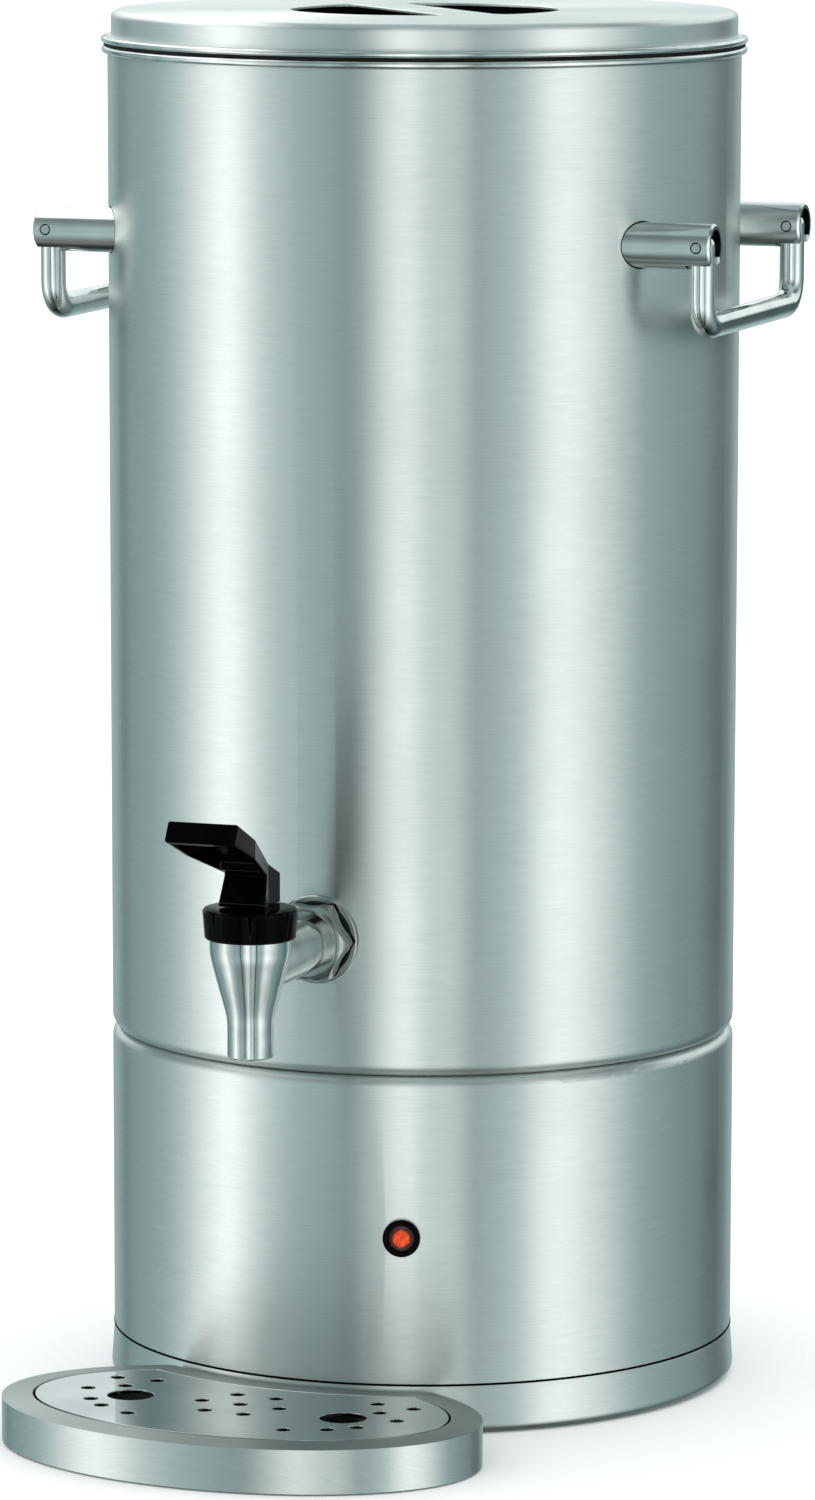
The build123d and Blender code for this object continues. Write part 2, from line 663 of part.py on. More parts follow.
# ================= pilot lamp =================
with BuildPart() as lamp_housing:
    with BuildSketch(radial(LAMP_TURN, LAMP_Z)):
        Circle(LAMP_R)
    extrude(amount=2.4)
    fillet(lamp_housing.edges().filter_by(GeomType.CIRCLE).sort_by(Axis.Y)[0], 0.9)
    with BuildSketch(radial(LAMP_TURN, LAMP_Z).offset(-20)):
        Circle(6.1)
    extrude(amount=21)
    with BuildSketch(radial(LAMP_TURN, LAMP_Z).offset(-18)):
        Circle(4.6)
    extrude(amount=30, mode=Mode.SUBTRACT)
    with BuildSketch(radial(LAMP_TURN, LAMP_Z).offset(-1)):
        Circle(LAMP_LENS_R - 0.6)
    extrude(amount=10, mode=Mode.SUBTRACT)
    with BuildSketch(radial(LAMP_TURN, LAMP_Z).offset(-27)):
        with Locations((-2.5, 0), (2.5, 0)):
            Rectangle(0.8, 4.8)
    extrude(amount=8)
write(lamp_housing, "lamp_housing")

with BuildPart() as lamp_lens:
    with BuildSketch(radial(LAMP_TURN, LAMP_Z).offset(-1)):
        Circle(LAMP_LENS_R - 0.6)
    extrude(amount=2.4)
    with BuildSketch(radial(LAMP_TURN, LAMP_Z).offset(-8)):
        Circle(4.5)
    extrude(amount=7)
    with BuildSketch(radial(LAMP_TURN, LAMP_Z).offset(1.4)):
        with GridLocations(1.5, 1.5, 5, 5):
            Circle(0.55)
    extrude(amount=0.5)
write(lamp_lens, "lamp_lens")

with BuildPart() as lamp_nut:
    with BuildSketch(radial(LAMP_TURN, LAMP_Z).offset(-5)):
        RegularPolygon(8.5, 6, major_radius=False)
        Circle(6.1, mode=Mode.SUBTRACT)
    extrude(amount=6)
    with BuildSketch(Plane.XY.offset(LAMP_Z - 20)):
        Circle(TANK_INNER_R)
    extrude(amount=40, mode=Mode.INTERSECT)
write(lamp_nut, "lamp_nut")

# ================= heater, thermostat and wiring =================
with BuildPart() as heating_element:
    legs_low_z = 118.0
    low_z = HEATER_Z - HEATER_BEND_R
    a = radians(90 - HEATER_OPEN)
    bend_in = HEATER_BEND_R * sin(radians(45))
    bend_down = HEATER_BEND_R * (1 - cos(radians(45)))
    ring_x = HEATER_R * cos(a)
    ring_y = HEATER_R * sin(a)
    mid_x = ring_x - bend_in * sin(a)
    mid_y = ring_y + bend_in * cos(a)
    with BuildLine() as element_route:
        right_end = (ring_x, ring_y, HEATER_Z)
        left_end = (-ring_x, ring_y, HEATER_Z)
        Line((LEG_X, LEG_Y, legs_low_z), (LEG_X, LEG_Y, low_z))
        ThreePointArc((LEG_X, LEG_Y, low_z), (mid_x, mid_y, HEATER_Z - bend_down), right_end)
        ThreePointArc(right_end, (0, -HEATER_R, HEATER_Z), left_end)
        ThreePointArc(left_end, (-mid_x, mid_y, HEATER_Z - bend_down), (-LEG_X, LEG_Y, low_z))
        Line((-LEG_X, LEG_Y, low_z), (-LEG_X, LEG_Y, legs_low_z))
    with BuildSketch(Plane.XY.offset(legs_low_z)):
        with Locations((LEG_X, LEG_Y)):
            Circle(HEATER_TUBE_R)
    sweep(path=element_route.wire())
    with BuildSketch(Plane.XY.offset(legs_low_z - 10)):
        with Locations((LEG_X, LEG_Y), (-LEG_X, LEG_Y)):
            Rectangle(6.3, 0.8)
    extrude(amount=10)
    with BuildSketch(Plane.XY.offset(SEAM_Z - 15)):
        with Locations((LEG_X, LEG_Y), (-LEG_X, LEG_Y)):
            Circle(HEATER_HOLE_R)
    extrude(amount=17.5)
    with BuildSketch(Plane.XY.offset(SEAM_Z + 2.5)):
        with Locations((LEG_X, LEG_Y), (-LEG_X, LEG_Y)):
            Circle(8.5)
    extrude(amount=2)
write(heating_element, "heating_element")

with BuildPart() as heater_seals:
    with BuildSketch(Plane.XY.offset(SEAM_Z + SHEET)):
        with Locations((LEG_X, LEG_Y), (-LEG_X, LEG_Y)):
            Circle(8.0)
            Circle(HEATER_HOLE_R, mode=Mode.SUBTRACT)
    extrude(amount=1.5)
write(heater_seals, "heater_seals")

with BuildPart() as heater_nuts:
    with BuildSketch(Plane.XY.offset(SEAM_Z - 6)):
        with Locations((LEG_X, LEG_Y), (-LEG_X, LEG_Y)):
            RegularPolygon(8.0, 6, major_radius=False)
            Circle(HEATER_HOLE_R, mode=Mode.SUBTRACT)
    extrude(amount=6)
write(heater_nuts, "heater_nuts")

with BuildPart() as probe_gland:
    with BuildSketch(Plane.XY.offset(SEAM_Z - 8)):
        with Locations((PROBE_X, PROBE_Y)):
            Circle(PROBE_HOLE_R)
    extrude(amount=14)
    with BuildSketch(Plane.XY.offset(SEAM_Z - 4)):
        with Locations((PROBE_X, PROBE_Y)):
            RegularPolygon(7.0, 6, major_radius=False)
    extrude(amount=4)
    with BuildSketch(Plane.XY.offset(SEAM_Z + SHEET)):
        with Locations((PROBE_X, PROBE_Y)):
            Circle(6.5)
    extrude(amount=3)
    with BuildSketch(Plane.XY.offset(SEAM_Z - 10)):
        with Locations((PROBE_X, PROBE_Y)):
            Circle(1.0)
    extrude(amount=20, mode=Mode.SUBTRACT)
write(probe_gland, "probe_gland")

THERMO_FRONT_Y = TANK_INNER_R - 4.0
with BuildPart() as thermostat:
    with Locations((0, THERMO_FRONT_Y - 14, KNOB_Z)):
        Box(34, 28, 40)
    fillet(thermostat.edges().filter_by(Axis.Y), 3)
    with BuildSketch(Plane(origin=(0, THERMO_FRONT_Y, KNOB_Z), x_dir=(-1, 0, 0), z_dir=(0, 1, 0))):
        Circle(5.2)
    extrude(amount=BODY_R + 3.5 - THERMO_FRONT_Y)
    with BuildSketch(Plane(origin=(0, THERMO_FRONT_Y - 2, KNOB_Z), x_dir=(-1, 0, 0), z_dir=(0, 1, 0))):
        Circle(STEM_R + RUN)
    extrude(amount=30, mode=Mode.SUBTRACT)
    with BuildSketch(Plane.XY.offset(KNOB_Z - 28)):
        with Locations((-8, THERMO_FRONT_Y - 14), (8, THERMO_FRONT_Y - 14)):
            Rectangle(6.3, 0.8)
    extrude(amount=8)
write(thermostat, "thermostat")

with BuildPart() as dial_ring:
    with BuildSketch(Plane(origin=(0, BODY_R - 2.2, KNOB_Z), x_dir=(-1, 0, 0), z_dir=(0, 1, 0))):
        Circle(KNOB_R + 5)
        Circle(5.2, mode=Mode.SUBTRACT)
    extrude(amount=3.4)
    fillet(dial_ring.edges().group_by(Axis.Y)[-1].sort_by(SortBy.RADIUS)[-1], 0.8)
    with BuildSketch(Plane.XY.offset(KNOB_Z - 40)):
        Circle(BODY_R)
    extrude(amount=80, mode=Mode.SUBTRACT)
write(dial_ring, "dial_ring")

with BuildPart() as dial_nut:
    with BuildSketch(Plane(origin=(0, BODY_R + 1.2, KNOB_Z), x_dir=(-1, 0, 0), z_dir=(0, 1, 0))):
        RegularPolygon(8.0, 6, major_radius=False)
        Circle(5.2, mode=Mode.SUBTRACT)
    extrude(amount=2.3)
write(dial_nut, "dial_nut")

KNOB_LOW_Y = BODY_R + 1.6
KNOB_HIGH_Y = BODY_R + 19.0
with BuildPart() as thermostat_knob:
    with BuildSketch(Plane(origin=(0, KNOB_LOW_Y, KNOB_Z), x_dir=(-1, 0, 0), z_dir=(0, 1, 0))):
        Circle(KNOB_R)
    extrude(amount=KNOB_HIGH_Y - KNOB_LOW_Y, taper=3)
    fillet(thermostat_knob.edges().group_by(Axis.Y)[-1], 1.5)
    with BuildSketch(Plane(origin=(0, KNOB_LOW_Y, KNOB_Z), x_dir=(-1, 0, 0), z_dir=(0, 1, 0))):
        Circle(13.0)
    extrude(amount=4.0, mode=Mode.SUBTRACT)
    with BuildSketch(Plane(origin=(0, KNOB_LOW_Y + 4, KNOB_Z), x_dir=(-1, 0, 0), z_dir=(0, 1, 0))):
        with PolarLocations(KNOB_R + 1.2, 24):
            Circle(1.8)
    extrude(amount=KNOB_HIGH_Y, mode=Mode.SUBTRACT)
    with BuildSketch(Plane(origin=(0, KNOB_HIGH_Y - 0.8, KNOB_Z), x_dir=(-1, 0, 0), z_dir=(0, 1, 0))):
        with Locations((0, KNOB_R - 8)):
            Rectangle(1.8, 8)
    extrude(amount=1, mode=Mode.SUBTRACT)
    with BuildSketch(Plane(origin=(0, THERMO_FRONT_Y - 1, KNOB_Z), x_dir=(-1, 0, 0), z_dir=(0, 1, 0))):
        Circle(STEM_R)
    extrude(amount=KNOB_LOW_Y + 5 - THERMO_FRONT_Y + 1)
write(thermostat_knob, "thermostat_knob")

with BuildPart() as thermostat_probe:
    with BuildLine() as capillary:
        FilletPolyline(
            (PROBE_X, PROBE_Y, 176.0),
            (PROBE_X, PROBE_Y, 128.0),
            (PROBE_X, 84.0, 118.0),
            (PROBE_X, THERMO_FRONT_Y - 20, 112.0),
            (PROBE_X, THERMO_FRONT_Y - 20, KNOB_Z + 20),
            radius=8,
        )
    with BuildSketch(Plane(origin=(PROBE_X, PROBE_Y, 176.0), z_dir=(0, 0, -1))):
        Circle(1.0)
    sweep(path=capillary.wire())
    with BuildSketch(Plane.XY.offset(172.0)):
        with Locations((PROBE_X, PROBE_Y)):
            Circle(PROBE_R)
    extrude(amount=70)
    fillet(thermostat_probe.edges().group_by(Axis.Z)[-1], 1.5)
write(thermostat_probe, "thermostat_probe")

with BuildPart() as overheat_cutout:
    with BuildSketch(Plane.XY.offset(SEAM_Z - 9)):
        with Locations((0, -40)):
            Circle(9)
    extrude(amount=9)
    with BuildSketch(Plane.XY.offset(SEAM_Z - 1.2)):
        with Locations((0, -40)):
            SlotOverall(36, 10)
    extrude(amount=1.2)
    with BuildSketch(Plane.XY.offset(SEAM_Z - 16)):
        with Locations((-5, -40), (5, -40)):
            Rectangle(0.8, 6.3)
    extrude(amount=7)
write(overheat_cutout, "overheat_cutout")

with BuildPart() as terminal_block:
    with Locations((40, 60, PLATE_Z + 9)):
        Box(44, 18, 18)
    with Locations((40, 60, PLATE_Z + 18)):
        with GridLocations(14, 1, 3, 1):
            Cylinder(4.2, 8, mode=Mode.SUBTRACT)
    fillet(terminal_block.edges().filter_by(Axis.Z).sort_by(Axis.X)[:2], 1)
write(terminal_block, "terminal_block")

with BuildPart() as cable_gland:
    with BuildSketch(radial(GLAND_TURN, GLAND_Z).offset(-1.2)):
        RegularPolygon(12.0, 6, major_radius=False)
    extrude(amount=5.2)
    with BuildSketch(radial(GLAND_TURN, GLAND_Z).offset(4)):
        Circle(10.5)
    extrude(amount=14, taper=6)
    with BuildSketch(Plane.XY.offset(GLAND_Z - 20)):
        Circle(BODY_R)
    extrude(amount=40, mode=Mode.SUBTRACT)
    with BuildSketch(radial(GLAND_TURN, GLAND_Z).offset(-12)):
        Circle(8.0)
    extrude(amount=14)
    with BuildSketch(radial(GLAND_TURN, GLAND_Z).offset(-15)):
        Circle(4.0)
    extrude(amount=40, mode=Mode.SUBTRACT)
write(cable_gland, "cable_gland")

with BuildPart() as gland_nut:
    with BuildSketch(radial(GLAND_TURN, GLAND_Z).offset(-6)):
        RegularPolygon(11.5, 6, major_radius=False)
        Circle(8.0, mode=Mode.SUBTRACT)
    extrude(amount=8)
    with BuildSketch(Plane.XY.offset(GLAND_Z - 20)):
        Circle(TANK_INNER_R - PLINTH_SHEET)
    extrude(amount=40, mode=Mode.INTERSECT)
write(gland_nut, "gland_nut")

# ================= drip tray =================
TRAY_PLANE = Plane.XY.rotated((0, 0, TRAY_TURN))


def tray_outline(inset):
    """The tray's plan, drawn inwards by inset: an ellipse with a hollow back round the base."""
    with BuildSketch(Plane.XY) as plan:
        with Locations((0, -TRAY_REACH)):
            Ellipse(TRAY_A - inset, TRAY_B - inset)
        Circle(TRAY_BACK_R + inset, mode=Mode.SUBTRACT)
        fillet(plan.vertices(), max(TRAY_CORNER_R - inset / 3, 2.0))
    return plan.sketch


def tray_plate(z):
    """The tray's own plane at height z, turned with it round the tank's axis."""
    return TRAY_PLANE.offset(z)


RECESS_Z = TRAY_RIM_Z - DRIP_T - 0.1
LEDGE_W = 3.5
with BuildPart() as drip_tray:
    with BuildSketch(tray_plate(TRAY_FOOT_Z)):
        add(tray_outline(0))
    extrude(amount=TRAY_EDGE_Z - TRAY_FOOT_Z)
    with BuildSketch(tray_plate(TRAY_EDGE_Z)):
        add(tray_outline(0))
    with BuildSketch(tray_plate(TRAY_RIM_Z)):
        add(tray_outline(TRAY_RIM_W - 1.0))
    loft()
    # recess that the plate drops into, with a ledge round it
    with BuildSketch(tray_plate(RECESS_Z)):
        add(tray_outline(TRAY_RIM_W))
    extrude(amount=10, mode=Mode.SUBTRACT)
    with BuildSketch(tray_plate(RECESS_Z - 5)):
        add(tray_outline(TRAY_RIM_W + LEDGE_W))
    extrude(amount=10, mode=Mode.SUBTRACT)
    # basin, reaching out under the rim to the wall
    with BuildSketch(tray_plate(TRAY_FOOT_Z + TRAY_SHEET)):
        add(tray_outline(TRAY_SHEET))
    extrude(amount=RECESS_Z - 2 * TRAY_SHEET - TRAY_FOOT_Z, mode=Mode.SUBTRACT)
write(drip_tray, "drip_tray")

# plan places on the plate, from its middle: two finger holes and the small drain holes
FINGER_HOLE = (46.6, -3.9)
FINGER_HOLE_R = 9.2
DRAIN_HOLES = [
    (48.7, 23.4),
    (65.2, 21.7),
    (55.9, 10.0),
    (67.7, 0.4),
    (58.1, -16.1),
    (49.2, -24.2),
    (33.9, -31.6),
]
DRAIN_HOLE_R = 2.9
with BuildPart() as drip_plate:
    with BuildSketch(tray_plate(TRAY_RIM_Z - DRIP_T)):
        add(tray_outline(TRAY_RIM_W + 0.9))
        with Locations((0, -TRAY_REACH)):
            for mirror_x in (-1, 1):
                with Locations((mirror_x * FINGER_HOLE[0], FINGER_HOLE[1])):
                    Circle(FINGER_HOLE_R, mode=Mode.SUBTRACT)
                with Locations(*[(mirror_x * x, y) for x, y in DRAIN_HOLES]):
                    Circle(DRAIN_HOLE_R, mode=Mode.SUBTRACT)
            with PolarLocations(17, 6):
                Circle(DRAIN_HOLE_R, mode=Mode.SUBTRACT)
            Circle(DRAIN_HOLE_R, mode=Mode.SUBTRACT)
    extrude(amount=DRIP_T)
write(drip_plate, "drip_plate")

with BuildPart() as tray_pads:
    with BuildSketch(tray_plate(0)):
        with Locations((0, -TRAY_REACH - 8)):
            with GridLocations(110, 50, 2, 2):
                Circle(6)
    extrude(amount=TRAY_FOOT_Z)
write(tray_pads, "tray_pads")
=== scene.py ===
# %% [markdown]
# # A hot water urn, dressed in Blender
# The urn comes from CAD as fifty-one plain parts that already have the right size and place. This
# lesson gives them light, a camera and believable finishes, and adds the small things that CAD leaves
# out: rolled rims, the joints of the handles, the faceted lens of the lamp, the marks round the
# temperature dial. Blender works in metres, and sizes of the urn are written in millimetres and
# multiplied by MM. The tank's axis is the Z axis, the tap points along -Y and the floor is at Z = 0.

import json
import math
from itertools import product

import bmesh
import bpy
from mathutils import Matrix, Vector


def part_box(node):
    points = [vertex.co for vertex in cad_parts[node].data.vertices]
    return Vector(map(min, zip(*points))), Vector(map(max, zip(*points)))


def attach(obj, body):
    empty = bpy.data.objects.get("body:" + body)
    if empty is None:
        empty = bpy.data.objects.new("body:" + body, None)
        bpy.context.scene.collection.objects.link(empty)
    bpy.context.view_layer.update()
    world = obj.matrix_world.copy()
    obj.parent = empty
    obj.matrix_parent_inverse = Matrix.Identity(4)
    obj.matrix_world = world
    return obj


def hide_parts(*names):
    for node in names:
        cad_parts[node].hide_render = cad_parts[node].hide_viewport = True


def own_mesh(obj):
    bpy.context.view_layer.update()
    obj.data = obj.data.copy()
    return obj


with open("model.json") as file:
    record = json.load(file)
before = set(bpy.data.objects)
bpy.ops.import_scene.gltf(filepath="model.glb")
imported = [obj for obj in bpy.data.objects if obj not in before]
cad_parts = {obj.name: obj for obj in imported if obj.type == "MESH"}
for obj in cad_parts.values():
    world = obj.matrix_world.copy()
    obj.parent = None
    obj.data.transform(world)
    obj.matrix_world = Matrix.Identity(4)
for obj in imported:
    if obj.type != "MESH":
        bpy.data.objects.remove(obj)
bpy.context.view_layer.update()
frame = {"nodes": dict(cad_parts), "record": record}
nodes = frame["nodes"]
MM = 0.001

# %% [markdown]
# ## The camera
# The urn is seen from a little to the right of its tap and from slightly above, through a long lens,
# which keeps the tank's sides almost parallel. The lens points well below the middle of the view
# and the frame is shifted up, as an architect's camera does, so that tall things don't lean.

# %% Set the camera
CAMERA_PLACE = (1.0120, -2.8835, 0.6999)
CAMERA_TURN = 19.34  # degrees round from the tap
CAMERA_DIP = 10.747  # degrees that the lens looks down
CAMERA_ROLL = 0.10  # degrees
LENS_LENGTH = 181.0  # millimetres, on Blender's 36 mm frame
FRAME_SHIFT = (-0.0101, 0.2202)  # to the side and up, as a share of the frame's longer side
camera_data = bpy.data.cameras.new("camera")
camera_data.lens = LENS_LENGTH
camera_data.shift_x, camera_data.shift_y = FRAME_SHIFT
camera_data.clip_end = 200.0  # metres, far past the edge of the floor
camera = bpy.data.objects.new("camera", camera_data)
camera.location = CAMERA_PLACE
camera.rotation_euler = (
    Matrix.Rotation(math.radians(CAMERA_TURN), 3, "Z")
    @ Matrix.Rotation(math.radians(90 - CAMERA_DIP), 3, "X")
    @ Matrix.Rotation(math.radians(CAMERA_ROLL), 3, "Z")
).to_euler()
bpy.context.scene.collection.objects.link(camera)
bpy.context.scene.camera = camera
bpy.context.scene.view_settings.view_transform = "Standard"
print("camera is", round(camera.location.length, 2), "m from the urn's foot")

# %% [markdown]
# ## Nodes without ceremony
# Shaders are made of nodes, and most of their code is the same three things: set a menu, fill a
# socket, draw a link. One small function does all three for any kind of node. A second turns the hex
# codes of a paint chart into the linear values that light is worked out in, and a third makes the
# empty material that every finish starts from.

# %% Three helpers for every shader
def add_node(tree, kind, links=None, values=None, **settings):
    """Adds a node. Settings go on it, values in its sockets, links join other nodes' outputs to it."""
    new = tree.nodes.new(kind)
    for name, value in settings.items():
        setattr(new, name, value)
    for socket, value in (values or {}).items():
        new.inputs[socket].default_value = value
    for socket, output in (links or {}).items():
        tree.links.new(output, new.inputs[socket])
    return new


def linear(code):
    """A hex colour such as #C8CCCC as linear red, green, blue and alpha."""
    parts = [int(code[i:i + 2], 16) / 255 for i in (1, 3, 5)]
    return tuple(p / 12.92 if p <= 0.04045 else ((p + 0.055) / 1.055) ** 2.4 for p in parts) + (1.0,)


def new_finish(name):
    """An empty material with its shader. Returns the material, its node tree and the shader."""
    material = bpy.data.materials.new(name)
    material.use_nodes = True
    tree = material.node_tree
    return material, tree, tree.nodes["Principled BSDF"]


print("mid grey is", [round(v, 3) for v in linear("#808080")])

# %% [markdown]
# ## The studio
# Polished and brushed metal shows little of its own colour: it shows the room. The room here is a
# ring of tall soft boxes and dark gaps round the urn, written as a list of compass directions and
# brightnesses. Bright boxes are neutral and the gaps between them are a cool grey, which is where
# the steel gets its greenish shadows. A second list says how the room changes with height: a dark
# floor below, and a dim slot above the boxes. The ring is stored as shares of one brightest value,
# and the strength of the light gives that value back.

# %% The brightness of the room
# direction in degrees from the tap, towards +X, and brightness
SOFT_BOXES = [
    (-180, 0.54), (-160, 0.55), (-140, 0.53), (-126, 0.36), (-111, 0.44), (-96, 0.51), (-83, 0.73),
    (-69, 1.26), (-57, 1.93), (-47, 1.18), (-40, 0.90), (-27, 0.65), (-12, 0.60), (-2, 0.52), (6, 1.39),
    (14, 1.84), (21, 0.82), (29, 1.19), (40, 0.68), (55, 0.78), (66, 1.65), (74, 1.62), (88, 1.17),
    (107, 0.56), (117, 0.47), (129, 0.31), (143, 0.27), (156, 0.10), (167, 0.14),
]
# height, as the Z of a direction, and how much of the ring is left there
SHADES = [
    (-1.0, 0.05), (-0.90, 0.12), (-0.75, 0.40), (-0.50, 0.95), (-0.35, 1.10), (-0.20, 1.0), (0.10, 1.0),
    (0.25, 0.85), (0.45, 0.60), (0.65, 0.40),
]
BRIGHTEST = 2.2
GREY_UP_TO = 0.35
GREY_TO_WHITE = 0.95  # this much brighter, and a grey has become white
GREY_RED = 0.71  # the red in a cool grey, as a share of its green
RED_GAIN = 0.26  # what white has more of it
BLUE_LOSS = 0.01  # and what white has less of blue


def studio_colour(brightness):
    """Soft boxes are white and the gaps between them a cool grey."""
    white = min(max((brightness - GREY_UP_TO) / GREY_TO_WHITE, 0), 1)
    red = brightness * (GREY_RED + RED_GAIN * white)
    blue = brightness * (1.0 - BLUE_LOSS * white)
    return (red / BRIGHTEST, brightness / BRIGHTEST, blue / BRIGHTEST, 1)


def fill_ramp(ramp, stops):
    """Writes (position, colour) stops into a new colour ramp."""
    ramp.elements.remove(ramp.elements[1])
    ramp.elements[0].position = stops[0][0]
    ramp.elements[0].color = stops[0][1]
    for position, colour in stops[1:]:
        ramp.elements.new(position).color = colour


print(len(SOFT_BOXES), "stops round the urn, the brightest", max(level for _, level in SOFT_BOXES))

# %% Wrap the ring round the urn
world = bpy.data.worlds.new("studio")
world.use_nodes = True
bpy.context.scene.world = world
sky = world.node_tree
sky.nodes.clear()
look = add_node(sky, "ShaderNodeTexCoord")
axes = add_node(sky, "ShaderNodeSeparateXYZ", {"Vector": look.outputs["Generated"]})
minus_y = add_node(sky, "ShaderNodeMath", {0: axes.outputs["Y"]}, {1: -1.0}, operation="MULTIPLY")
turn = add_node(sky, "ShaderNodeMath", {0: axes.outputs["X"], 1: minus_y.outputs[0]}, operation="ARCTAN2")
# a ramp runs from 0 to 1, so the direction and the height are both brought to that
round_0_1 = add_node(
    sky, "ShaderNodeMath", {0: turn.outputs[0]}, {1: 1 / math.tau, 2: 0.5}, operation="MULTIPLY_ADD"
)
ring = add_node(sky, "ShaderNodeValToRGB", {"Fac": round_0_1.outputs[0]})
closed_ring = SOFT_BOXES + [(180, SOFT_BOXES[0][1])]
stops = [(degrees / 360 + 0.5, studio_colour(level)) for degrees, level in closed_ring]
fill_ramp(ring.color_ramp, stops)
up_0_1 = add_node(
    sky, "ShaderNodeMath", {0: axes.outputs["Z"]}, {1: 0.5, 2: 0.5}, operation="MULTIPLY_ADD"
)
shade = add_node(sky, "ShaderNodeValToRGB", {"Fac": up_0_1.outputs[0]})
fill_ramp(shade.color_ramp, [(up / 2 + 0.5, (left, left, left, 1)) for up, left in SHADES])
walls = add_node(
    sky, "ShaderNodeVectorMath", {0: ring.outputs["Color"], 1: shade.outputs["Color"]}, operation="MULTIPLY"
)
print("the ring has", len(ring.color_ramp.elements), "stops and the shade", len(shade.color_ramp.elements))

# %% [markdown]
# ## Black frames
# Three soft boxes stand in narrow black frames. The broad reflections of the brushed tank blur a frame
# away, while polished rods show it as a crisp dark line, and that contrast is what makes them look
# polished. In the nodes, a frame is a narrow range of directions where the ring is scaled down.

# %% Put in the frames
FRAMES = [(-8, 1.8), (38, 2.0), (-125, 3.0)]  # direction and half width of each, in degrees
FRAME_CORE = 0.5  # the share of its width that is fully dark
FRAME_LEFT = 0.05  # how much light is left there
for degrees, half in FRAMES:
    off = add_node(
        sky, "ShaderNodeMath", {0: turn.outputs[0]}, {1: math.radians(-degrees)}, operation="ADD"
    )
    away = add_node(sky, "ShaderNodeMath", {0: off.outputs[0]}, operation="ABSOLUTE")
    clear = add_node(
        sky, "ShaderNodeMapRange", {"Value": away.outputs[0]},
        {"From Min": math.radians(half * FRAME_CORE), "From Max": math.radians(half), "To Min": FRAME_LEFT},
    )
    walls = add_node(
        sky, "ShaderNodeVectorMath", {0: walls.outputs[0], "Scale": clear.outputs["Result"]},
        operation="SCALE",
    )
print(len(FRAMES), "black frames")

# %% [markdown]
# ## The sheet behind and the ceiling above
# A white sheet hangs behind the urn, which keeps the edges of the tank pale. A grey ceiling begins
# above the dim slot: the lid and the tops of the handle tubes show it. Each is one flat colour that
# takes over from the ring where the direction of view passes a soft limit.

# %% Hang the sheet, close the ceiling
BACKDROP = 1.1
CEILING = 0.6
SHEET_SIDE = (0.3, 0.7)  # the sheet fades in over this range of Y
SHEET_FOOT = (0.04, 0.16)  # and over this range of Z
CEILING_EDGE = (0.77, 0.85)  # and the ceiling over this one
behind = add_node(
    sky, "ShaderNodeMapRange", {"Value": axes.outputs["Y"]},
    {"From Min": SHEET_SIDE[0], "From Max": SHEET_SIDE[1]}, interpolation_type="SMOOTHSTEP",
)
above = add_node(
    sky, "ShaderNodeMapRange", {"Value": axes.outputs["Z"]},
    {"From Min": SHEET_FOOT[0], "From Max": SHEET_FOOT[1]}, interpolation_type="SMOOTHSTEP",
)
sheet = add_node(
    sky, "ShaderNodeMath", {0: behind.outputs["Result"], 1: above.outputs["Result"]}, operation="MULTIPLY"
)
room = add_node(
    sky, "ShaderNodeMix", {0: sheet.outputs[0], 6: walls.outputs[0]}, {7: studio_colour(BACKDROP)},
    data_type="RGBA",
)
height = add_node(
    sky, "ShaderNodeMapRange", {"Value": axes.outputs["Z"]},
    {"From Min": CEILING_EDGE[0], "From Max": CEILING_EDGE[1]}, interpolation_type="SMOOTHSTEP",
)
dome = add_node(
    sky, "ShaderNodeMix", {0: height.outputs["Result"], 6: room.outputs[2]}, {7: studio_colour(CEILING)},
    data_type="RGBA",
)
print("sheet", BACKDROP, "and ceiling", CEILING, "beside a brightest box of", BRIGHTEST)

# %% [markdown]
# ## What each ray sees
# Metal mirrors the ring, but a matt floor lit by it would turn patchy. So the world answers three
# kinds of ray in three ways: mirror rays meet the room, diffuse rays an even white that lights the
# floor and the plastics, and rays straight from the camera plain white paper.

# %% Split the light by kind of ray
FLOOR_LIGHT = 1.5
WHITE = (1, 1, 1, 1)
mirrored = add_node(sky, "ShaderNodeBackground", {"Color": dome.outputs[2]}, {"Strength": BRIGHTEST})
even = add_node(sky, "ShaderNodeBackground", None, {"Color": WHITE, "Strength": FLOOR_LIGHT})
paper = add_node(sky, "ShaderNodeBackground", None, {"Color": WHITE, "Strength": 1.0})
ray = add_node(sky, "ShaderNodeLightPath")
light = add_node(
    sky, "ShaderNodeMixShader",
    {0: ray.outputs["Is Diffuse Ray"], 1: mirrored.outputs[0], 2: even.outputs[0]},
)
either = add_node(
    sky, "ShaderNodeMixShader", {0: ray.outputs["Is Camera Ray"], 1: light.outputs[0], 2: paper.outputs[0]}
)
add_node(sky, "ShaderNodeOutputWorld", {"Surface": either.outputs[0]})
print("the studio has", len(sky.nodes), "nodes")

# %% [markdown]
# ## The floor
# A wide sheet of pale paper lies on the floor. It is matt, takes only a soft shadow, and is kept out
# of mirror reflections so that the soft boxes run down to the foot of the urn. It isn't part of the
# urn, so a flat disc is enough.

# %% Lay the floor
FLOOR_R = 30.0  # metres
FIBRE_MM = 2.5


def stage_piece(shape, name, finish):
    """Makes an object of a bmesh that belongs to the studio and not to the urn."""
    mesh = bpy.data.meshes.new(name)
    shape.to_mesh(mesh)
    shape.free()
    mesh.materials.append(finish)
    thing = bpy.data.objects.new(name, mesh)
    bpy.context.scene.collection.objects.link(thing)
    return thing


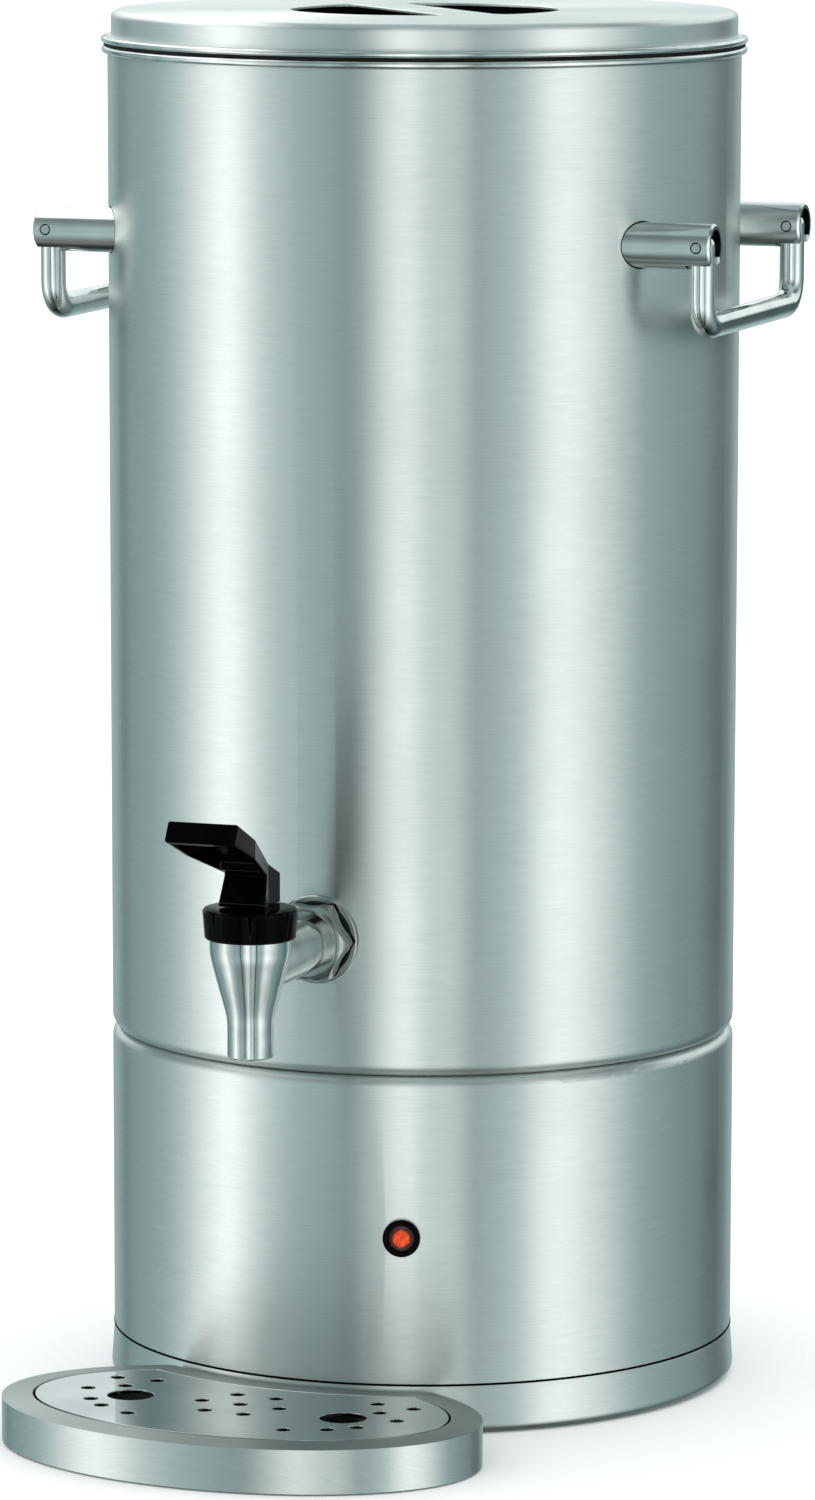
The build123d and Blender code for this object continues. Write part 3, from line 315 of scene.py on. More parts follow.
# matt card: almost no sheen, and a fibre that only just varies its white
paper_look, paper_tree, paper_shader = new_finish("matt_background_paper")
paper_shader.inputs["Roughness"].default_value = 0.9
paper_shader.inputs["Specular IOR Level"].default_value = 0.1
paper_place = add_node(paper_tree, "ShaderNodeTexCoord").outputs["Object"]
fibre = add_node(
    paper_tree, "ShaderNodeTexNoise", {"Vector": paper_place}, {"Scale": 1 / (FIBRE_MM * MM), "Detail": 2.0}
)
paper_tint = add_node(
    paper_tree, "ShaderNodeMix", {"Factor": fibre.outputs["Fac"]},
    {6: linear("#EDEFEF"), 7: linear("#F3F5F5")}, data_type="RGBA",
)
paper_tree.links.new(paper_tint.outputs[2], paper_shader.inputs["Base Color"])
paper_sheet = bmesh.new()
bmesh.ops.create_circle(paper_sheet, cap_ends=True, segments=96, radius=FLOOR_R)
floor = stage_piece(paper_sheet, "floor", paper_look)
floor.visible_glossy = False
print("floor is", round(floor.dimensions.x), "m across")

# %% [markdown]
# ## The soft box overhead
# The world's light is endlessly far away, so it falls on both handles alike. A real soft box hangs
# near: this one whitens the left of the lid and the tops of the left handle's tubes, while the tubes
# on the right see past it. It is a flat glowing panel above the lid and to its left.

# %% Hang the soft box
BOX_GLOW = 1.7
BOX_HALF = (0.28, 0.42)  # half its size along X and Y, in metres
BOX_PLACE = (-0.44, 0.15, 0.80)
diffuser, _, diffuser_shader = new_finish("soft_box_diffuser")
diffuser_shader.inputs["Base Color"].default_value = (0, 0, 0, 1)
diffuser_shader.inputs["Emission Color"].default_value = WHITE
diffuser_shader.inputs["Emission Strength"].default_value = BOX_GLOW
panel = bmesh.new()
bmesh.ops.create_grid(
    panel, x_segments=1, y_segments=1, size=1.0,
    matrix=Matrix.Translation(BOX_PLACE) @ Matrix.Diagonal((*BOX_HALF, 1, 1)),
)
soft_box = stage_piece(panel, "soft_box", diffuser)
soft_box.visible_camera = False
soft_box.visible_diffuse = False
print("soft box", [2 * half for half in BOX_HALF], "m")

# %% [markdown]
# ## Brushed and satin steel
# The tank and the base are stainless sheet, brushed round and round with an abrasive belt. The belt
# leaves fine scratches that run level, a centimetre or two long. They smear a reflection up and down
# but hardly sideways, which is what makes the tall soft stripes. The Tangent node gives the shader
# the direction of the scratches, and a noise that is stretched along them gives the streaks
# themselves. Real scratches are finer than a pixel, so they are drawn as coarse as they need to show.
# The same pattern works on a flat lid if the distance from the axis is added to the height, because
# then the streaks turn into rings.

# %% Steel brushed round an upright axis
BRUSHED_ONE_WAY = 0.75  # how much further a reflection smears across the scratches than along them
QUARTER_TURN = 0.25  # turns the smear upright
WEAR_MM = 60.0  # a belt wears in patches of about this size
NOISE_SPAN = (0.3, 0.7)  # nearly all values of a noise lie between these


def wander(tree, vector, scale_mm, low, high, detail=2.0):
    """A soft noise with features of about scale_mm, spread from low to high."""
    noise = add_node(
        tree, "ShaderNodeTexNoise", {"Vector": vector}, {"Scale": 1 / (scale_mm * MM), "Detail": detail}
    )
    return add_node(
        tree, "ShaderNodeMapRange", {"Value": noise.outputs["Fac"]},
        {"From Min": NOISE_SPAN[0], "From Max": NOISE_SPAN[1], "To Min": low, "To Max": high},
    ).outputs["Result"]


def brushed_round(name, dark, pale, roughness, streak_mm, pitch_mm, depth_mm, centre=(0, 0)):
    """Steel brushed round an upright axis: scratches streak_mm long, pitch_mm apart and depth_mm deep."""
    material, tree, steel = new_finish(name)
    place = add_node(tree, "ShaderNodeTexCoord").outputs["Object"]
    around = add_node(
        tree, "ShaderNodeMapping", {"Vector": place}, {"Location": (-centre[0], -centre[1], 0)}
    )
    parts = add_node(tree, "ShaderNodeSeparateXYZ", {"Vector": around.outputs["Vector"]})
    flat = add_node(tree, "ShaderNodeCombineXYZ", {"X": parts.outputs["X"], "Y": parts.outputs["Y"]})
    reach = add_node(tree, "ShaderNodeVectorMath", {0: flat.outputs[0]}, operation="LENGTH")
    across = add_node(
        tree, "ShaderNodeMath", {0: parts.outputs["Z"], 1: reach.outputs["Value"]}, operation="ADD"
    )
    along = add_node(
        tree, "ShaderNodeCombineXYZ",
        {"X": parts.outputs["X"], "Y": parts.outputs["Y"], "Z": across.outputs[0]},
    )
    lengths = add_node(
        tree, "ShaderNodeVectorMath", {0: along.outputs[0]},
        {1: (1 / (streak_mm * MM), 1 / (streak_mm * MM), 1 / (pitch_mm * MM))}, operation="MULTIPLY",
    )
    scratches = add_node(
        tree, "ShaderNodeTexNoise", {"Vector": lengths.outputs[0]},
        {"Scale": 1.0, "Detail": 3.0, "Roughness": 0.6},
    )
    tint = add_node(
        tree, "ShaderNodeMix", {"Factor": scratches.outputs["Fac"]}, {6: linear(dark), 7: linear(pale)},
        data_type="RGBA",
    )
    grooves = add_node(
        tree, "ShaderNodeBump", {"Height": scratches.outputs["Fac"]},
        {"Strength": 1.0, "Distance": depth_mm * MM},
    )
    level = add_node(tree, "ShaderNodeTangent", direction_type="RADIAL", axis="Z")
    steel.inputs["Metallic"].default_value = 1.0
    steel.inputs["Anisotropic"].default_value = BRUSHED_ONE_WAY
    steel.inputs["Anisotropic Rotation"].default_value = QUARTER_TURN
    tree.links.new(level.outputs[0], steel.inputs["Tangent"])
    tree.links.new(tint.outputs[2], steel.inputs["Base Color"])
    worn = wander(tree, place, WEAR_MM, roughness * 0.93, roughness * 1.07)
    tree.links.new(worn, steel.inputs["Roughness"])
    tree.links.new(grooves.outputs[0], steel.inputs["Normal"])
    return material


# 304 stainless sheet, belt brushed: soft upright stripes, fine level streaks, a cool grey
brushed_stainless = brushed_round(
    "belt_brushed_stainless", "#C3C9C8", "#DDE2E1", 0.34, streak_mm=14.0, pitch_mm=0.55, depth_mm=0.005
)
# the lid is the same steel, spun and then satin finished: paler, with streaks too fine to catch
satin_lid_steel = brushed_round(
    "satin_spun_stainless", "#D2D7D6", "#E2E6E5", 0.36, streak_mm=20.0, pitch_mm=0.6, depth_mm=0.003
)
# the tray is smaller work, brushed by hand along its rim
TRAY_CENTRE = (-0.016, -0.171)  # metres
tray_steel = brushed_round(
    "hand_brushed_stainless", "#C0C6C5", "#DCE1E0", 0.36, streak_mm=12.0, pitch_mm=0.6, depth_mm=0.005,
    centre=TRAY_CENTRE,
)
print([steel.name for steel in (brushed_stainless, satin_lid_steel, tray_steel)])

# %% [markdown]
# ## Painted shade on the tray's top
# The tray's level faces are painted darker than its sides, as shade. Which way a face looks is known
# to the shader, so one material can hold both tones: a second, darker colour is laid over the first
# where the surface looks up.

# %% Paint shade on the tray's level faces
def lay_over(tree, shader, share, code):
    """Lays a hex colour over a shader's own colour, as far as share goes from 0 to 1."""
    own = shader.inputs["Base Color"].links[0].from_socket
    both = add_node(tree, "ShaderNodeMix", {0: share, 6: own}, {7: linear(code)}, data_type="RGBA")
    tree.links.new(both.outputs[2], shader.inputs["Base Color"])


LEVEL_FROM = 0.85  # the upward part of a face's direction, from which it counts as nearly level
LEVEL_FULL = 0.97  # and from which it is fully dark
tray_tree = tray_steel.node_tree
tray_facing = add_node(tray_tree, "ShaderNodeNewGeometry").outputs["Normal"]
tray_up = add_node(tray_tree, "ShaderNodeSeparateXYZ", {"Vector": tray_facing}).outputs["Z"]
tray_top_shade = add_node(
    tray_tree, "ShaderNodeMapRange", {"Value": tray_up}, {"From Min": LEVEL_FROM, "From Max": LEVEL_FULL}
)
# paints shade on the tray's top: a darker colour where the faces look up
lay_over(tray_tree, tray_tree.nodes["Principled BSDF"], tray_top_shade.outputs["Result"], "#9EA5A4")
print("the tray's steel has", len(tray_tree.nodes), "nodes")

# %% [markdown]
# ## Plain metals
# The handle tubes and the tap are turned or drawn, so their scratches have no single direction that
# shows at this size. The bails are polished bright. These need only a colour, a roughness that
# wanders a little, and a faint unevenness that keeps the highlights from looking like plastic.

# %% Metals without a brushed direction
def plain_metal(name, dark, pale, roughness, patch_mm=9.0, uneven_mm=0.004, grain_mm=0.8):
    """A metal with a colour in patches, a wandering roughness, and a grain that is uneven_mm deep."""
    material, tree, metal = new_finish(name)
    place = add_node(tree, "ShaderNodeTexCoord").outputs["Object"]
    tint = add_node(
        tree, "ShaderNodeMix", {"Factor": wander(tree, place, patch_mm, 0, 1)},
        {6: linear(dark), 7: linear(pale)}, data_type="RGBA",
    )
    worn = wander(tree, place, patch_mm * 1.7, roughness * 0.85, roughness * 1.15)
    grain = add_node(
        tree, "ShaderNodeBump", {"Height": wander(tree, place, grain_mm, 0, 1)},
        {"Strength": 1.0, "Distance": uneven_mm * MM},
    )
    metal.inputs["Metallic"].default_value = 1.0
    tree.links.new(tint.outputs[2], metal.inputs["Base Color"])
    tree.links.new(worn, metal.inputs["Roughness"])
    tree.links.new(grain.outputs[0], metal.inputs["Normal"])
    return material


# in each call: dark and pale colour, roughness, patches in mm, depth in mm, grain in mm
# drawn 304 tube, satin: broad soft highlights along the tube
satin_tube = plain_metal("satin_drawn_stainless", "#B0B7B6", "#C2C8C7", 0.15, 12.0, 0.001, 1.5)
# polished 304 rod: nearly a mirror
polished_rod = plain_metal("polished_stainless", "#CDD2D2", "#E0E4E3", 0.05, 14.0, 0.001, 4.0)
# nickel plated brass casting, turned and buffed: the tap
buffed_nickel = plain_metal("buffed_nickel_plate", "#B6BCBB", "#C9CFCE", 0.09, 9.0, 0.001, 2.0)
# the same plating, painted darker as shade from the tap: the domed nut and its washer against the wall
nickel_in_painted_shade = plain_metal("nickel_plate_painted_shade", "#868C8B", "#A3A9A8", 0.14, 7.0, 0.001, 2.0)
# bright annealed sheet, left as rolled: the drip plate is close to a mirror
mirror_sheet = plain_metal("bright_annealed_sheet", "#A4ABAB", "#BCC2C2", 0.07, 40.0, 0.001, 6.0)
# the curled rims and the ground weld: the same sheet, burnished by the tool
rolled_edge = plain_metal("burnished_stainless_edge", "#C6CCCB", "#DCE1E0", 0.16, 10.0, 0.001, 2.0)
# machined brass nuts, dull from handling
machined_brass = plain_metal("machined_brass", "#B08D4A", "#CFAE68", 0.28)
# zinc plated steel screws and nuts: bluish, patchy
zinc_plate = plain_metal("zinc_plated_steel", "#8F979C", "#B9C0C4", 0.38, 3.0)
# drawn copper capillary, lightly oxidised
drawn_copper = plain_metal("drawn_copper", "#A8623F", "#CF8A63", 0.30)
print(len(bpy.data.materials), "materials so far")

# %% [markdown]
# ## The handle tubes
# The four short tubes that carry the bails are satin outside. Inside, the shade of the bore is
# painted in as a dark colour, which shows in the open end round the bail. The tubes run along X, so
# the distance from a tube's axis is found from Y and Z alone: where it is less than the bore's
# radius, the painted shade takes over.

# %% Satin outside, painted shade inside
POST_Z = 470.8
POST_Y = 61.3
POST_BORE_R = 6.8
BORE_MARGIN = 0.1
handle_tube = plain_metal("satin_tube_painted_bore_shade", "#CDD2D1", "#D8DCDB", 0.15, 12.0, 0.001, 1.5)
tube_tree = handle_tube.node_tree
tube_place = add_node(tube_tree, "ShaderNodeTexCoord").outputs["Object"]
tube_parts = add_node(tube_tree, "ShaderNodeSeparateXYZ", {"Vector": tube_place})
tube_y = add_node(tube_tree, "ShaderNodeMath", {0: tube_parts.outputs["Y"]}, operation="ABSOLUTE")
tube_spot = add_node(
    tube_tree, "ShaderNodeCombineXYZ", {"Y": tube_y.outputs[0], "Z": tube_parts.outputs["Z"]}
)
tube_reach = add_node(
    tube_tree, "ShaderNodeVectorMath", {0: tube_spot.outputs[0]}, {1: (0, POST_Y * MM, POST_Z * MM)},
    operation="DISTANCE",
)
bore_shade = add_node(
    tube_tree, "ShaderNodeMath", {0: tube_reach.outputs["Value"]}, {1: (POST_BORE_R + BORE_MARGIN) * MM},
    operation="LESS_THAN",
)
# paints the shade inside the bore: a dark colour within the bore's radius
lay_over(tube_tree, tube_tree.nodes["Principled BSDF"], bore_shade.outputs[0], "#16191A")
print("tube is dark within", POST_BORE_R + BORE_MARGIN, "mm of its axis")

# %% [markdown]
# ## Plastics, rubber and ceramic
# Black parts are never quite black. Gloss phenolic on the tap has a sharp reflection and a faint
# orange peel; the moulded parts at the back have a fine spark-eroded grain that breaks the highlight
# up; rubber is duller still, with dust in its pores.

# %% Moulded and fired materials
TINT_MM = 11.0
DULLING_MM = 17.0


def moulded(name, dark, pale, roughness, ior, grain_mm, depth_mm, sheen_left=0.5):
    """A non-metal with a grain of grain_mm and depth_mm. A sheen_left under 0.5 damps its reflection."""
    material, tree, body = new_finish(name)
    place = add_node(tree, "ShaderNodeTexCoord").outputs["Object"]
    tint = add_node(
        tree, "ShaderNodeMix", {"Factor": wander(tree, place, TINT_MM, 0, 1, 4.0)},
        {6: linear(dark), 7: linear(pale)}, data_type="RGBA",
    )
    grain = add_node(
        tree, "ShaderNodeBump", {"Height": wander(tree, place, grain_mm, 0, 1)},
        {"Strength": 1.0, "Distance": depth_mm * MM},
    )
    body.inputs["IOR"].default_value = ior
    body.inputs["Specular IOR Level"].default_value = sheen_left
    tree.links.new(tint.outputs[2], body.inputs["Base Color"])
    dulled = wander(tree, place, DULLING_MM, roughness * 0.85, roughness * 1.2)
    tree.links.new(dulled, body.inputs["Roughness"])
    tree.links.new(grain.outputs[0], body.inputs["Normal"])
    return material


# in each call: dark and pale colour, roughness, IOR, grain in mm, its depth in mm, reflection left
# compression moulded phenolic, polished by its mould: deep black, its reflections kept low
gloss_phenolic = moulded("gloss_black_phenolic", "#020202", "#040405", 0.10, 1.58, 5.0, 0.002, 0.02)
# the same phenolic where hands have rubbed its edges to a shine
rubbed_phenolic = moulded("rubbed_black_phenolic", "#050506", "#0A0A0B", 0.16, 1.58, 5.0, 0.002, 0.5)
# the lid's moulded cup: near black and barely reflecting, so that the finger openings read as holes
matt_cup_plastic = moulded("matt_black_cup_plastic", "#060606", "#0B0B0C", 0.85, 1.50, 0.6, 0.02, 0.03)
# injection moulded ABS with a spark-eroded grain: the knob, the cord inlet, the lamp's bezel
grained_abs = moulded("grained_black_abs", "#0D0E0F", "#151618", 0.50, 1.53, 0.5, 0.02, 0.3)
# moulded nitrile rubber: feet and tray pads
moulded_rubber = moulded("moulded_nitrile_rubber", "#0A0A0A", "#141313", 0.75, 1.52, 0.9, 0.03, 0.2)
# translucent silicone washers
soft_silicone = moulded("grey_silicone", "#8C8D88", "#A3A49E", 0.55, 1.41, 1.2, 0.01)
# unglazed steatite: thermostat and cut-out bodies
steatite = moulded("unglazed_steatite", "#CFC5AC", "#E2DAC4", 0.80, 1.55, 0.4, 0.01)
# the ink of the dial's marks
screen_ink = moulded("black_screen_ink", "#101112", "#17181A", 0.60, 1.50, 0.3, 0.005, 0.3)
# near black for the narrow joints of the handle tubes and, as painted shade, for the gaps round
# the pins, above the foot ring and round the drip plate. It gives back almost no light
joint_and_gap_shade = moulded("joint_and_gap_shade_black", "#040404", "#080808", 0.90, 1.50, 0.5, 0.005, 0.02)
print(len(bpy.data.materials), "materials so far")

# %% [markdown]
# ## The pilot lamp
# Behind the dark bezel a neon bulb lights an orange polycarbonate lens. It glows a little, so the
# shader gets some emission. The middle is the hottest and the rim stays dark, with a restless ember
# pattern over both: one number for the heat picks the colour from a ramp.

# %% Orange lens
LAMP_TURN = 15.6  # degrees round from the tap
LAMP_Z = 80.3
TANK_R = 127.5
LENS_PROUD = 1.6  # the glow is centred on the lens's face, this far out of the wall
CORE_R = 3.0  # full heat up to here
GLOW_R = 4.2  # and none from here on
CORE_HEAT = 0.62
EMBER_MM = 1.6
EMBER_SHARE = 0.25
EMBERS = [(0.0, "#1A0706"), (0.3, "#5A1408"), (0.65, "#C8400F"), (1.0, "#FF8A3C")]
lamp_way = Vector((math.sin(math.radians(LAMP_TURN)), -math.cos(math.radians(LAMP_TURN)), 0))
lens_look, lens_tree, lens_shader = new_finish("lit_orange_polycarbonate")
lens_place = add_node(lens_tree, "ShaderNodeTexCoord").outputs["Object"]
from_middle = add_node(
    lens_tree, "ShaderNodeVectorMath", {0: lens_place},
    {1: (*(lamp_way * (TANK_R + LENS_PROUD) * MM).xy, LAMP_Z * MM)}, operation="DISTANCE",
)
ember = wander(lens_tree, lens_place, EMBER_MM, -0.5, 0.5)
reach_in = add_node(
    lens_tree, "ShaderNodeMapRange", {"Value": from_middle.outputs["Value"]},
    {"From Min": CORE_R * MM, "From Max": GLOW_R * MM, "To Min": CORE_HEAT, "To Max": 0.0},
)
heat = add_node(
    lens_tree, "ShaderNodeMath", {0: ember, 2: reach_in.outputs["Result"]}, {1: EMBER_SHARE},
    operation="MULTIPLY_ADD",
)
glow = add_node(lens_tree, "ShaderNodeValToRGB", {"Fac": heat.outputs[0]})
fill_ramp(glow.color_ramp, [(warmth, linear(code)) for warmth, code in EMBERS])
for socket in ("Base Color", "Emission Color"):
    lens_tree.links.new(glow.outputs["Color"], lens_shader.inputs[socket])
lens_shader.inputs["Emission Strength"].default_value = 0.35
lens_shader.inputs["Roughness"].default_value = 0.15
lens_shader.inputs["IOR"].default_value = 1.585
lens_shader.inputs["Specular IOR Level"].default_value = 0.25
print("lens glows within", GLOW_R, "mm of its middle")

# %% [markdown]
# ## Give every CAD solid its finish
# The CAD record names a material slot for each solid. The slots choose the finish, and a few solids
# that share a slot in CAD but are made differently get their own.

# %% Dress the solids
FINISH_OF_SLOT = {
    "brushed_steel": brushed_stainless,
    "satin_steel": satin_tube,
    "polished_steel": polished_rod,
    "black_gloss": gloss_phenolic,
    "black_matte": grained_abs,
    "black_rubber": moulded_rubber,
    "grey_silicone": soft_silicone,
    "lamp_orange": lens_look,
    "brass": machined_brass,
    "zinc_steel": zinc_plate,
    "copper": drawn_copper,
    "cream_ceramic": steatite,
}
FINISH_OF_NODE = {
    "handle_post_left_front": handle_tube,
    "handle_post_left_back": handle_tube,
    "handle_post_right_front": handle_tube,
    "handle_post_right_back": handle_tube,
    "lid_shell": satin_lid_steel,
    "lid_skirt": satin_lid_steel,
    "drip_tray": tray_steel,
    "drip_plate": mirror_sheet,
    "tap_body": buffed_nickel,
    "tap_hex_nut": nickel_in_painted_shade,
    "tap_washer": nickel_in_painted_shade,
    "lid_grip_cup": matt_cup_plastic,
}
for entry in frame["record"]["subparts"]:
    name = entry["node"]
    finish = FINISH_OF_NODE.get(name, FINISH_OF_SLOT[entry["material_slot"]])
    nodes[name].data.materials.clear()
    nodes[name].data.materials.append(finish)

# %% [markdown]
# ## The curled rims
# The top edge of the tank and the foot of the lid are curled outwards into a roll of wire-like
# roundness, which stiffens the sheet and hides its raw edge. It is the first thing that the eye
# meets on the urn, so each roll is spun afresh, finely enough to stay smooth in a close view. The
# section is a circle, and one full turn of it about the tank's axis gives the roll.

# %% Turn a bmesh into a piece of the urn
MERGE_WITHIN = 0.002


def make_piece(shape, name, body, finish, sharp_degrees=40):
    """Makes an object of a bmesh, gives it its finish and lets it ride on a body."""
    bmesh.ops.remove_doubles(shape, verts=shape.verts, dist=MERGE_WITHIN * MM)
    bmesh.ops.recalc_face_normals(shape, faces=shape.faces)
    mesh = bpy.data.meshes.new(name)
    shape.to_mesh(mesh)
    shape.free()
    mesh.shade_smooth()
    mesh.set_sharp_from_angle(angle=math.radians(sharp_degrees))
    mesh.materials.append(finish)
    piece = bpy.data.objects.new(name, mesh)
    bpy.context.scene.collection.objects.link(piece)
    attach(piece, body)
    return piece


print("pieces are merged within", MERGE_WITHIN, "mm")

# %% Spin the two rolls
UPRIGHT = Matrix.Rotation(math.pi / 2, 4, "X")  # stands a flat shape on its edge
RIM_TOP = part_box("tank_shell")[1][2] / MM
LID_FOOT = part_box("lid_seal")[1][2] / MM
TANK_ROLL_Z = RIM_TOP - 1.6
TANK_ROLL_REACH = 128.2
TANK_WIRE_R = 1.64
LID_ROLL_Z = LID_FOOT + 1.3
LID_ROLL_REACH = 128.7
LID_WIRE_R = 1.34
RING_STEPS = 288


def spun_wire(reach_mm, height_mm, wire_mm, sides=20):
    """A round wire of radius wire_mm, spun into a ring of radius reach_mm about the tank's axis."""
    shape = bmesh.new()
    section = Matrix.Translation((reach_mm * MM, 0, height_mm * MM)) @ UPRIGHT
    bmesh.ops.create_circle(shape, segments=sides, radius=wire_mm * MM, matrix=section)
    bmesh.ops.spin(
        shape, geom=shape.verts[:] + shape.edges[:], cent=(0, 0, 0), axis=(0, 0, 1), angle=math.tau,
        steps=RING_STEPS, use_merge=True,
    )
    return shape


tank_roll = spun_wire(TANK_ROLL_REACH, TANK_ROLL_Z, TANK_WIRE_R)
make_piece(tank_roll, "tank_rim_roll", "urn", rolled_edge)
lid_roll = spun_wire(LID_ROLL_REACH, LID_ROLL_Z, LID_WIRE_R)
make_piece(lid_roll, "lid_rim_roll", "lid", rolled_edge)
print("rolls at", round(TANK_ROLL_Z, 1), "and", round(LID_ROLL_Z, 1), "mm")

# %% [markdown]
# ## The joints of the handle tubes
# Each handle tube is set against the tank wall and brazed from inside, so outside there is only a
# fine dark line where the two meet. The line is a flat band that lies on the wall and follows its
# curve. A small circle is turned about the tube's axis in its own plane, which sweeps out a band as
# wide as the circle, and then every point is pushed along the tube until it lies on the tank. The
# band has two layers and no thickness: it can only draw the line. A circle that stood across its
# path would give a round bead with a thickness of its own.

# %% Draw the joints
POST_R = 9.0
JOINT_R = 0.35  # half the width of the band
JOINT_GAP = 0.1  # from the tube to the middle of the band
JOINT_STEPS = 72


def joint_ring(side, row):
    """The joint of one tube: side is -1 or 1 along X, row is -1 or 1 along Y."""
    shape = bmesh.new()
    section = Matrix.Translation((0, (POST_R + JOINT_GAP) * MM, 0)) @ Matrix.Rotation(math.pi / 2, 4, "Z")
    bmesh.ops.create_circle(shape, segments=10, radius=JOINT_R * MM, matrix=section @ UPRIGHT)
    bmesh.ops.spin(
        shape, geom=shape.verts[:] + shape.edges[:], cent=(0, 0, 0), axis=(1, 0, 0), angle=math.tau,
        steps=JOINT_STEPS, use_merge=True,
    )
    for point in shape.verts:
        y = point.co.y + row * POST_Y * MM
        wall = math.sqrt((TANK_R * MM) ** 2 - y ** 2)
        point.co = (side * (wall + point.co.x), y, point.co.z + POST_Z * MM)
    return shape


joints = list(product(((-1, "left"), (1, "right")), ((-1, "front"), (1, "back"))))
for (side, side_name), (row, row_name) in joints:
    name = f"post_joint_{side_name}_{row_name}"
    make_piece(joint_ring(side, row), name, "urn", joint_and_gap_shade)
print(len(joints), "joints on the tank")

# %% [markdown]
# ## Painted shade in the gaps
# Where two parts meet without touching, the eye sees a fine black line. Such gaps are too narrow for
# CAD to draw well: the ring round each end of a bail's pin, and the groove above the foot ring. Each
# is filled with a thin near-black ring that paints the shade of the gap. The pin rings are bent to
# the round of the tube as the joints are to the tank.

# %% Paint shade into the gaps round the pins
PIVOT_X = 136.6
PIN_GAP_R = 2.12
PIN_GAP_HALF = 0.17
PIN_GAP_STEPS = 40
pin_gap_shade = bmesh.new()
for side, row, face in product((-1, 1), repeat=3):
    done = len(pin_gap_shade.verts)
    start = bmesh.ops.create_circle(
        pin_gap_shade, segments=8, radius=PIN_GAP_HALF * MM, matrix=Matrix.Translation((PIN_GAP_R * MM, 0, 0))
    )["verts"]
    bmesh.ops.spin(
        pin_gap_shade, geom=start + list({e for v in start for e in v.link_edges}), cent=(0, 0, 0),
        axis=(0, 1, 0), angle=math.tau, steps=PIN_GAP_STEPS, use_merge=True,
    )
    pin_gap_shade.verts.ensure_lookup_table()
    for point in pin_gap_shade.verts[done:]:
        tube = math.sqrt((POST_R * MM) ** 2 - point.co.z ** 2)
        point.co = (
            side * PIVOT_X * MM + point.co.x,
            row * POST_Y * MM + face * (tube + point.co.y),
            POST_Z * MM + point.co.z,
        )
pin_shade_piece = make_piece(pin_gap_shade, "pin_gap_shade", "urn", joint_and_gap_shade)
print("pin rings have", len(pin_shade_piece.data.polygons), "faces")

# %% Paint shade into the groove above the foot ring
BEAD_DROP = 0.3  # the bead's middle lies this far below the edge of the base
BEAD_REACH = 127.2
BEAD_R = 0.58
GROOVE_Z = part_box("base_housing")[0][2] / MM - BEAD_DROP
# a thin near-black ring: painted shade in the groove
groove_shade = spun_wire(BEAD_REACH, GROOVE_Z, BEAD_R, sides=10)
make_piece(groove_shade, "base_groove_shade", "urn", joint_and_gap_shade)
print("groove at", round(GROOVE_Z, 1), "mm")

# %% [markdown]
# ## The seam of the tank
# The tank is a sheet rolled into a tube and welded down its back. The weld is ground nearly flush,
# and what is left is a low line about two millimetres wide. A half-sunk strip with a flat oval section
# gives exactly that: a squashed disc at the foot of the seam, pushed up to the rim. The strip is much
# thinner than the sheet, so nothing of it shows inside the tank.

# %% Make the seam
SEAM_FOOT = 148.0
SEAM_TOP = RIM_TOP - 3
SEAM_HALF = 1.2
SEAM_PROUD = 0.12
seam = bmesh.new()
bmesh.ops.create_circle(
    seam, cap_ends=True, segments=48, radius=SEAM_HALF * MM,
    matrix=Matrix.Translation((0, TANK_R * MM, SEAM_FOOT * MM))
    @ Matrix.Diagonal((1, SEAM_PROUD / SEAM_HALF, 1, 1)),
)
raised = bmesh.ops.extrude_face_region(seam, geom=seam.faces[:])
bmesh.ops.translate(
    seam, vec=(0, 0, (SEAM_TOP - SEAM_FOOT) * MM),
    verts=[v for v in raised["geom"] if isinstance(v, bmesh.types.BMVert)],
)
make_piece(seam, "tank_seam_weld", "urn", rolled_edge)
print("seam weld", 2 * SEAM_HALF, "mm wide and", round(SEAM_TOP - SEAM_FOOT, 1), "mm long")

# %% [markdown]
# ## The lamp's lens
# The lens is an orange button set in a black bezel. Its face is moulded as a honeycomb of small
# raised cells that scatter the neon light behind it. Each cell is a six-sided cone with its top cut
# off. Every second row is moved along by half a cell, which makes the grid a hexagonal one, and a
# round disc carries the cells.

# %% Make the lens
LENS_R = 5.35
LENS_DEEP = 2.2
LENS_MIDDLE = 0.3  # outwards from the wall
LENS_ROUND = 0.5
CELL_PITCH = 1.25
CELL_FIELD_R = 4.1
CELL_FOOT_R = 0.60
CELL_TOP_R = 0.34
CELL_HIGH = 0.5
CELL_MIDDLE = 1.55
lamp_place = (
    Matrix.Translation((*(lamp_way * TANK_R * MM).xy, LAMP_Z * MM))
    @ Matrix.Rotation(math.radians(LAMP_TURN), 4, "Z") @ UPRIGHT
)
lens = bmesh.new()
bmesh.ops.create_cone(
    lens, cap_ends=True, segments=64, radius1=LENS_R * MM, radius2=LENS_R * MM, depth=LENS_DEEP * MM,
    matrix=Matrix.Translation((0, 0, LENS_MIDDLE * MM)),
)
front_rim = [e for e in lens.edges if all(v.co.z > LENS_MIDDLE * MM for v in e.verts)]
bmesh.ops.bevel(
    lens, geom=front_rim, offset=LENS_ROUND * MM, offset_type="OFFSET", segments=3, profile=0.5,
    affect="EDGES", material=-1,
)
cells = 0
for row, column in product(range(-4, 5), repeat=2):
    x = (column + 0.5 * (row % 2)) * CELL_PITCH
    y = row * CELL_PITCH * math.sqrt(3) / 2
    if math.hypot(x, y) < CELL_FIELD_R:
        bmesh.ops.create_cone(
            lens, cap_ends=True, segments=6, radius1=CELL_FOOT_R * MM, radius2=CELL_TOP_R * MM,
            depth=CELL_HIGH * MM, matrix=Matrix.Translation((x * MM, y * MM, CELL_MIDDLE * MM)),
        )
        cells += 1
lens.transform(lamp_place)
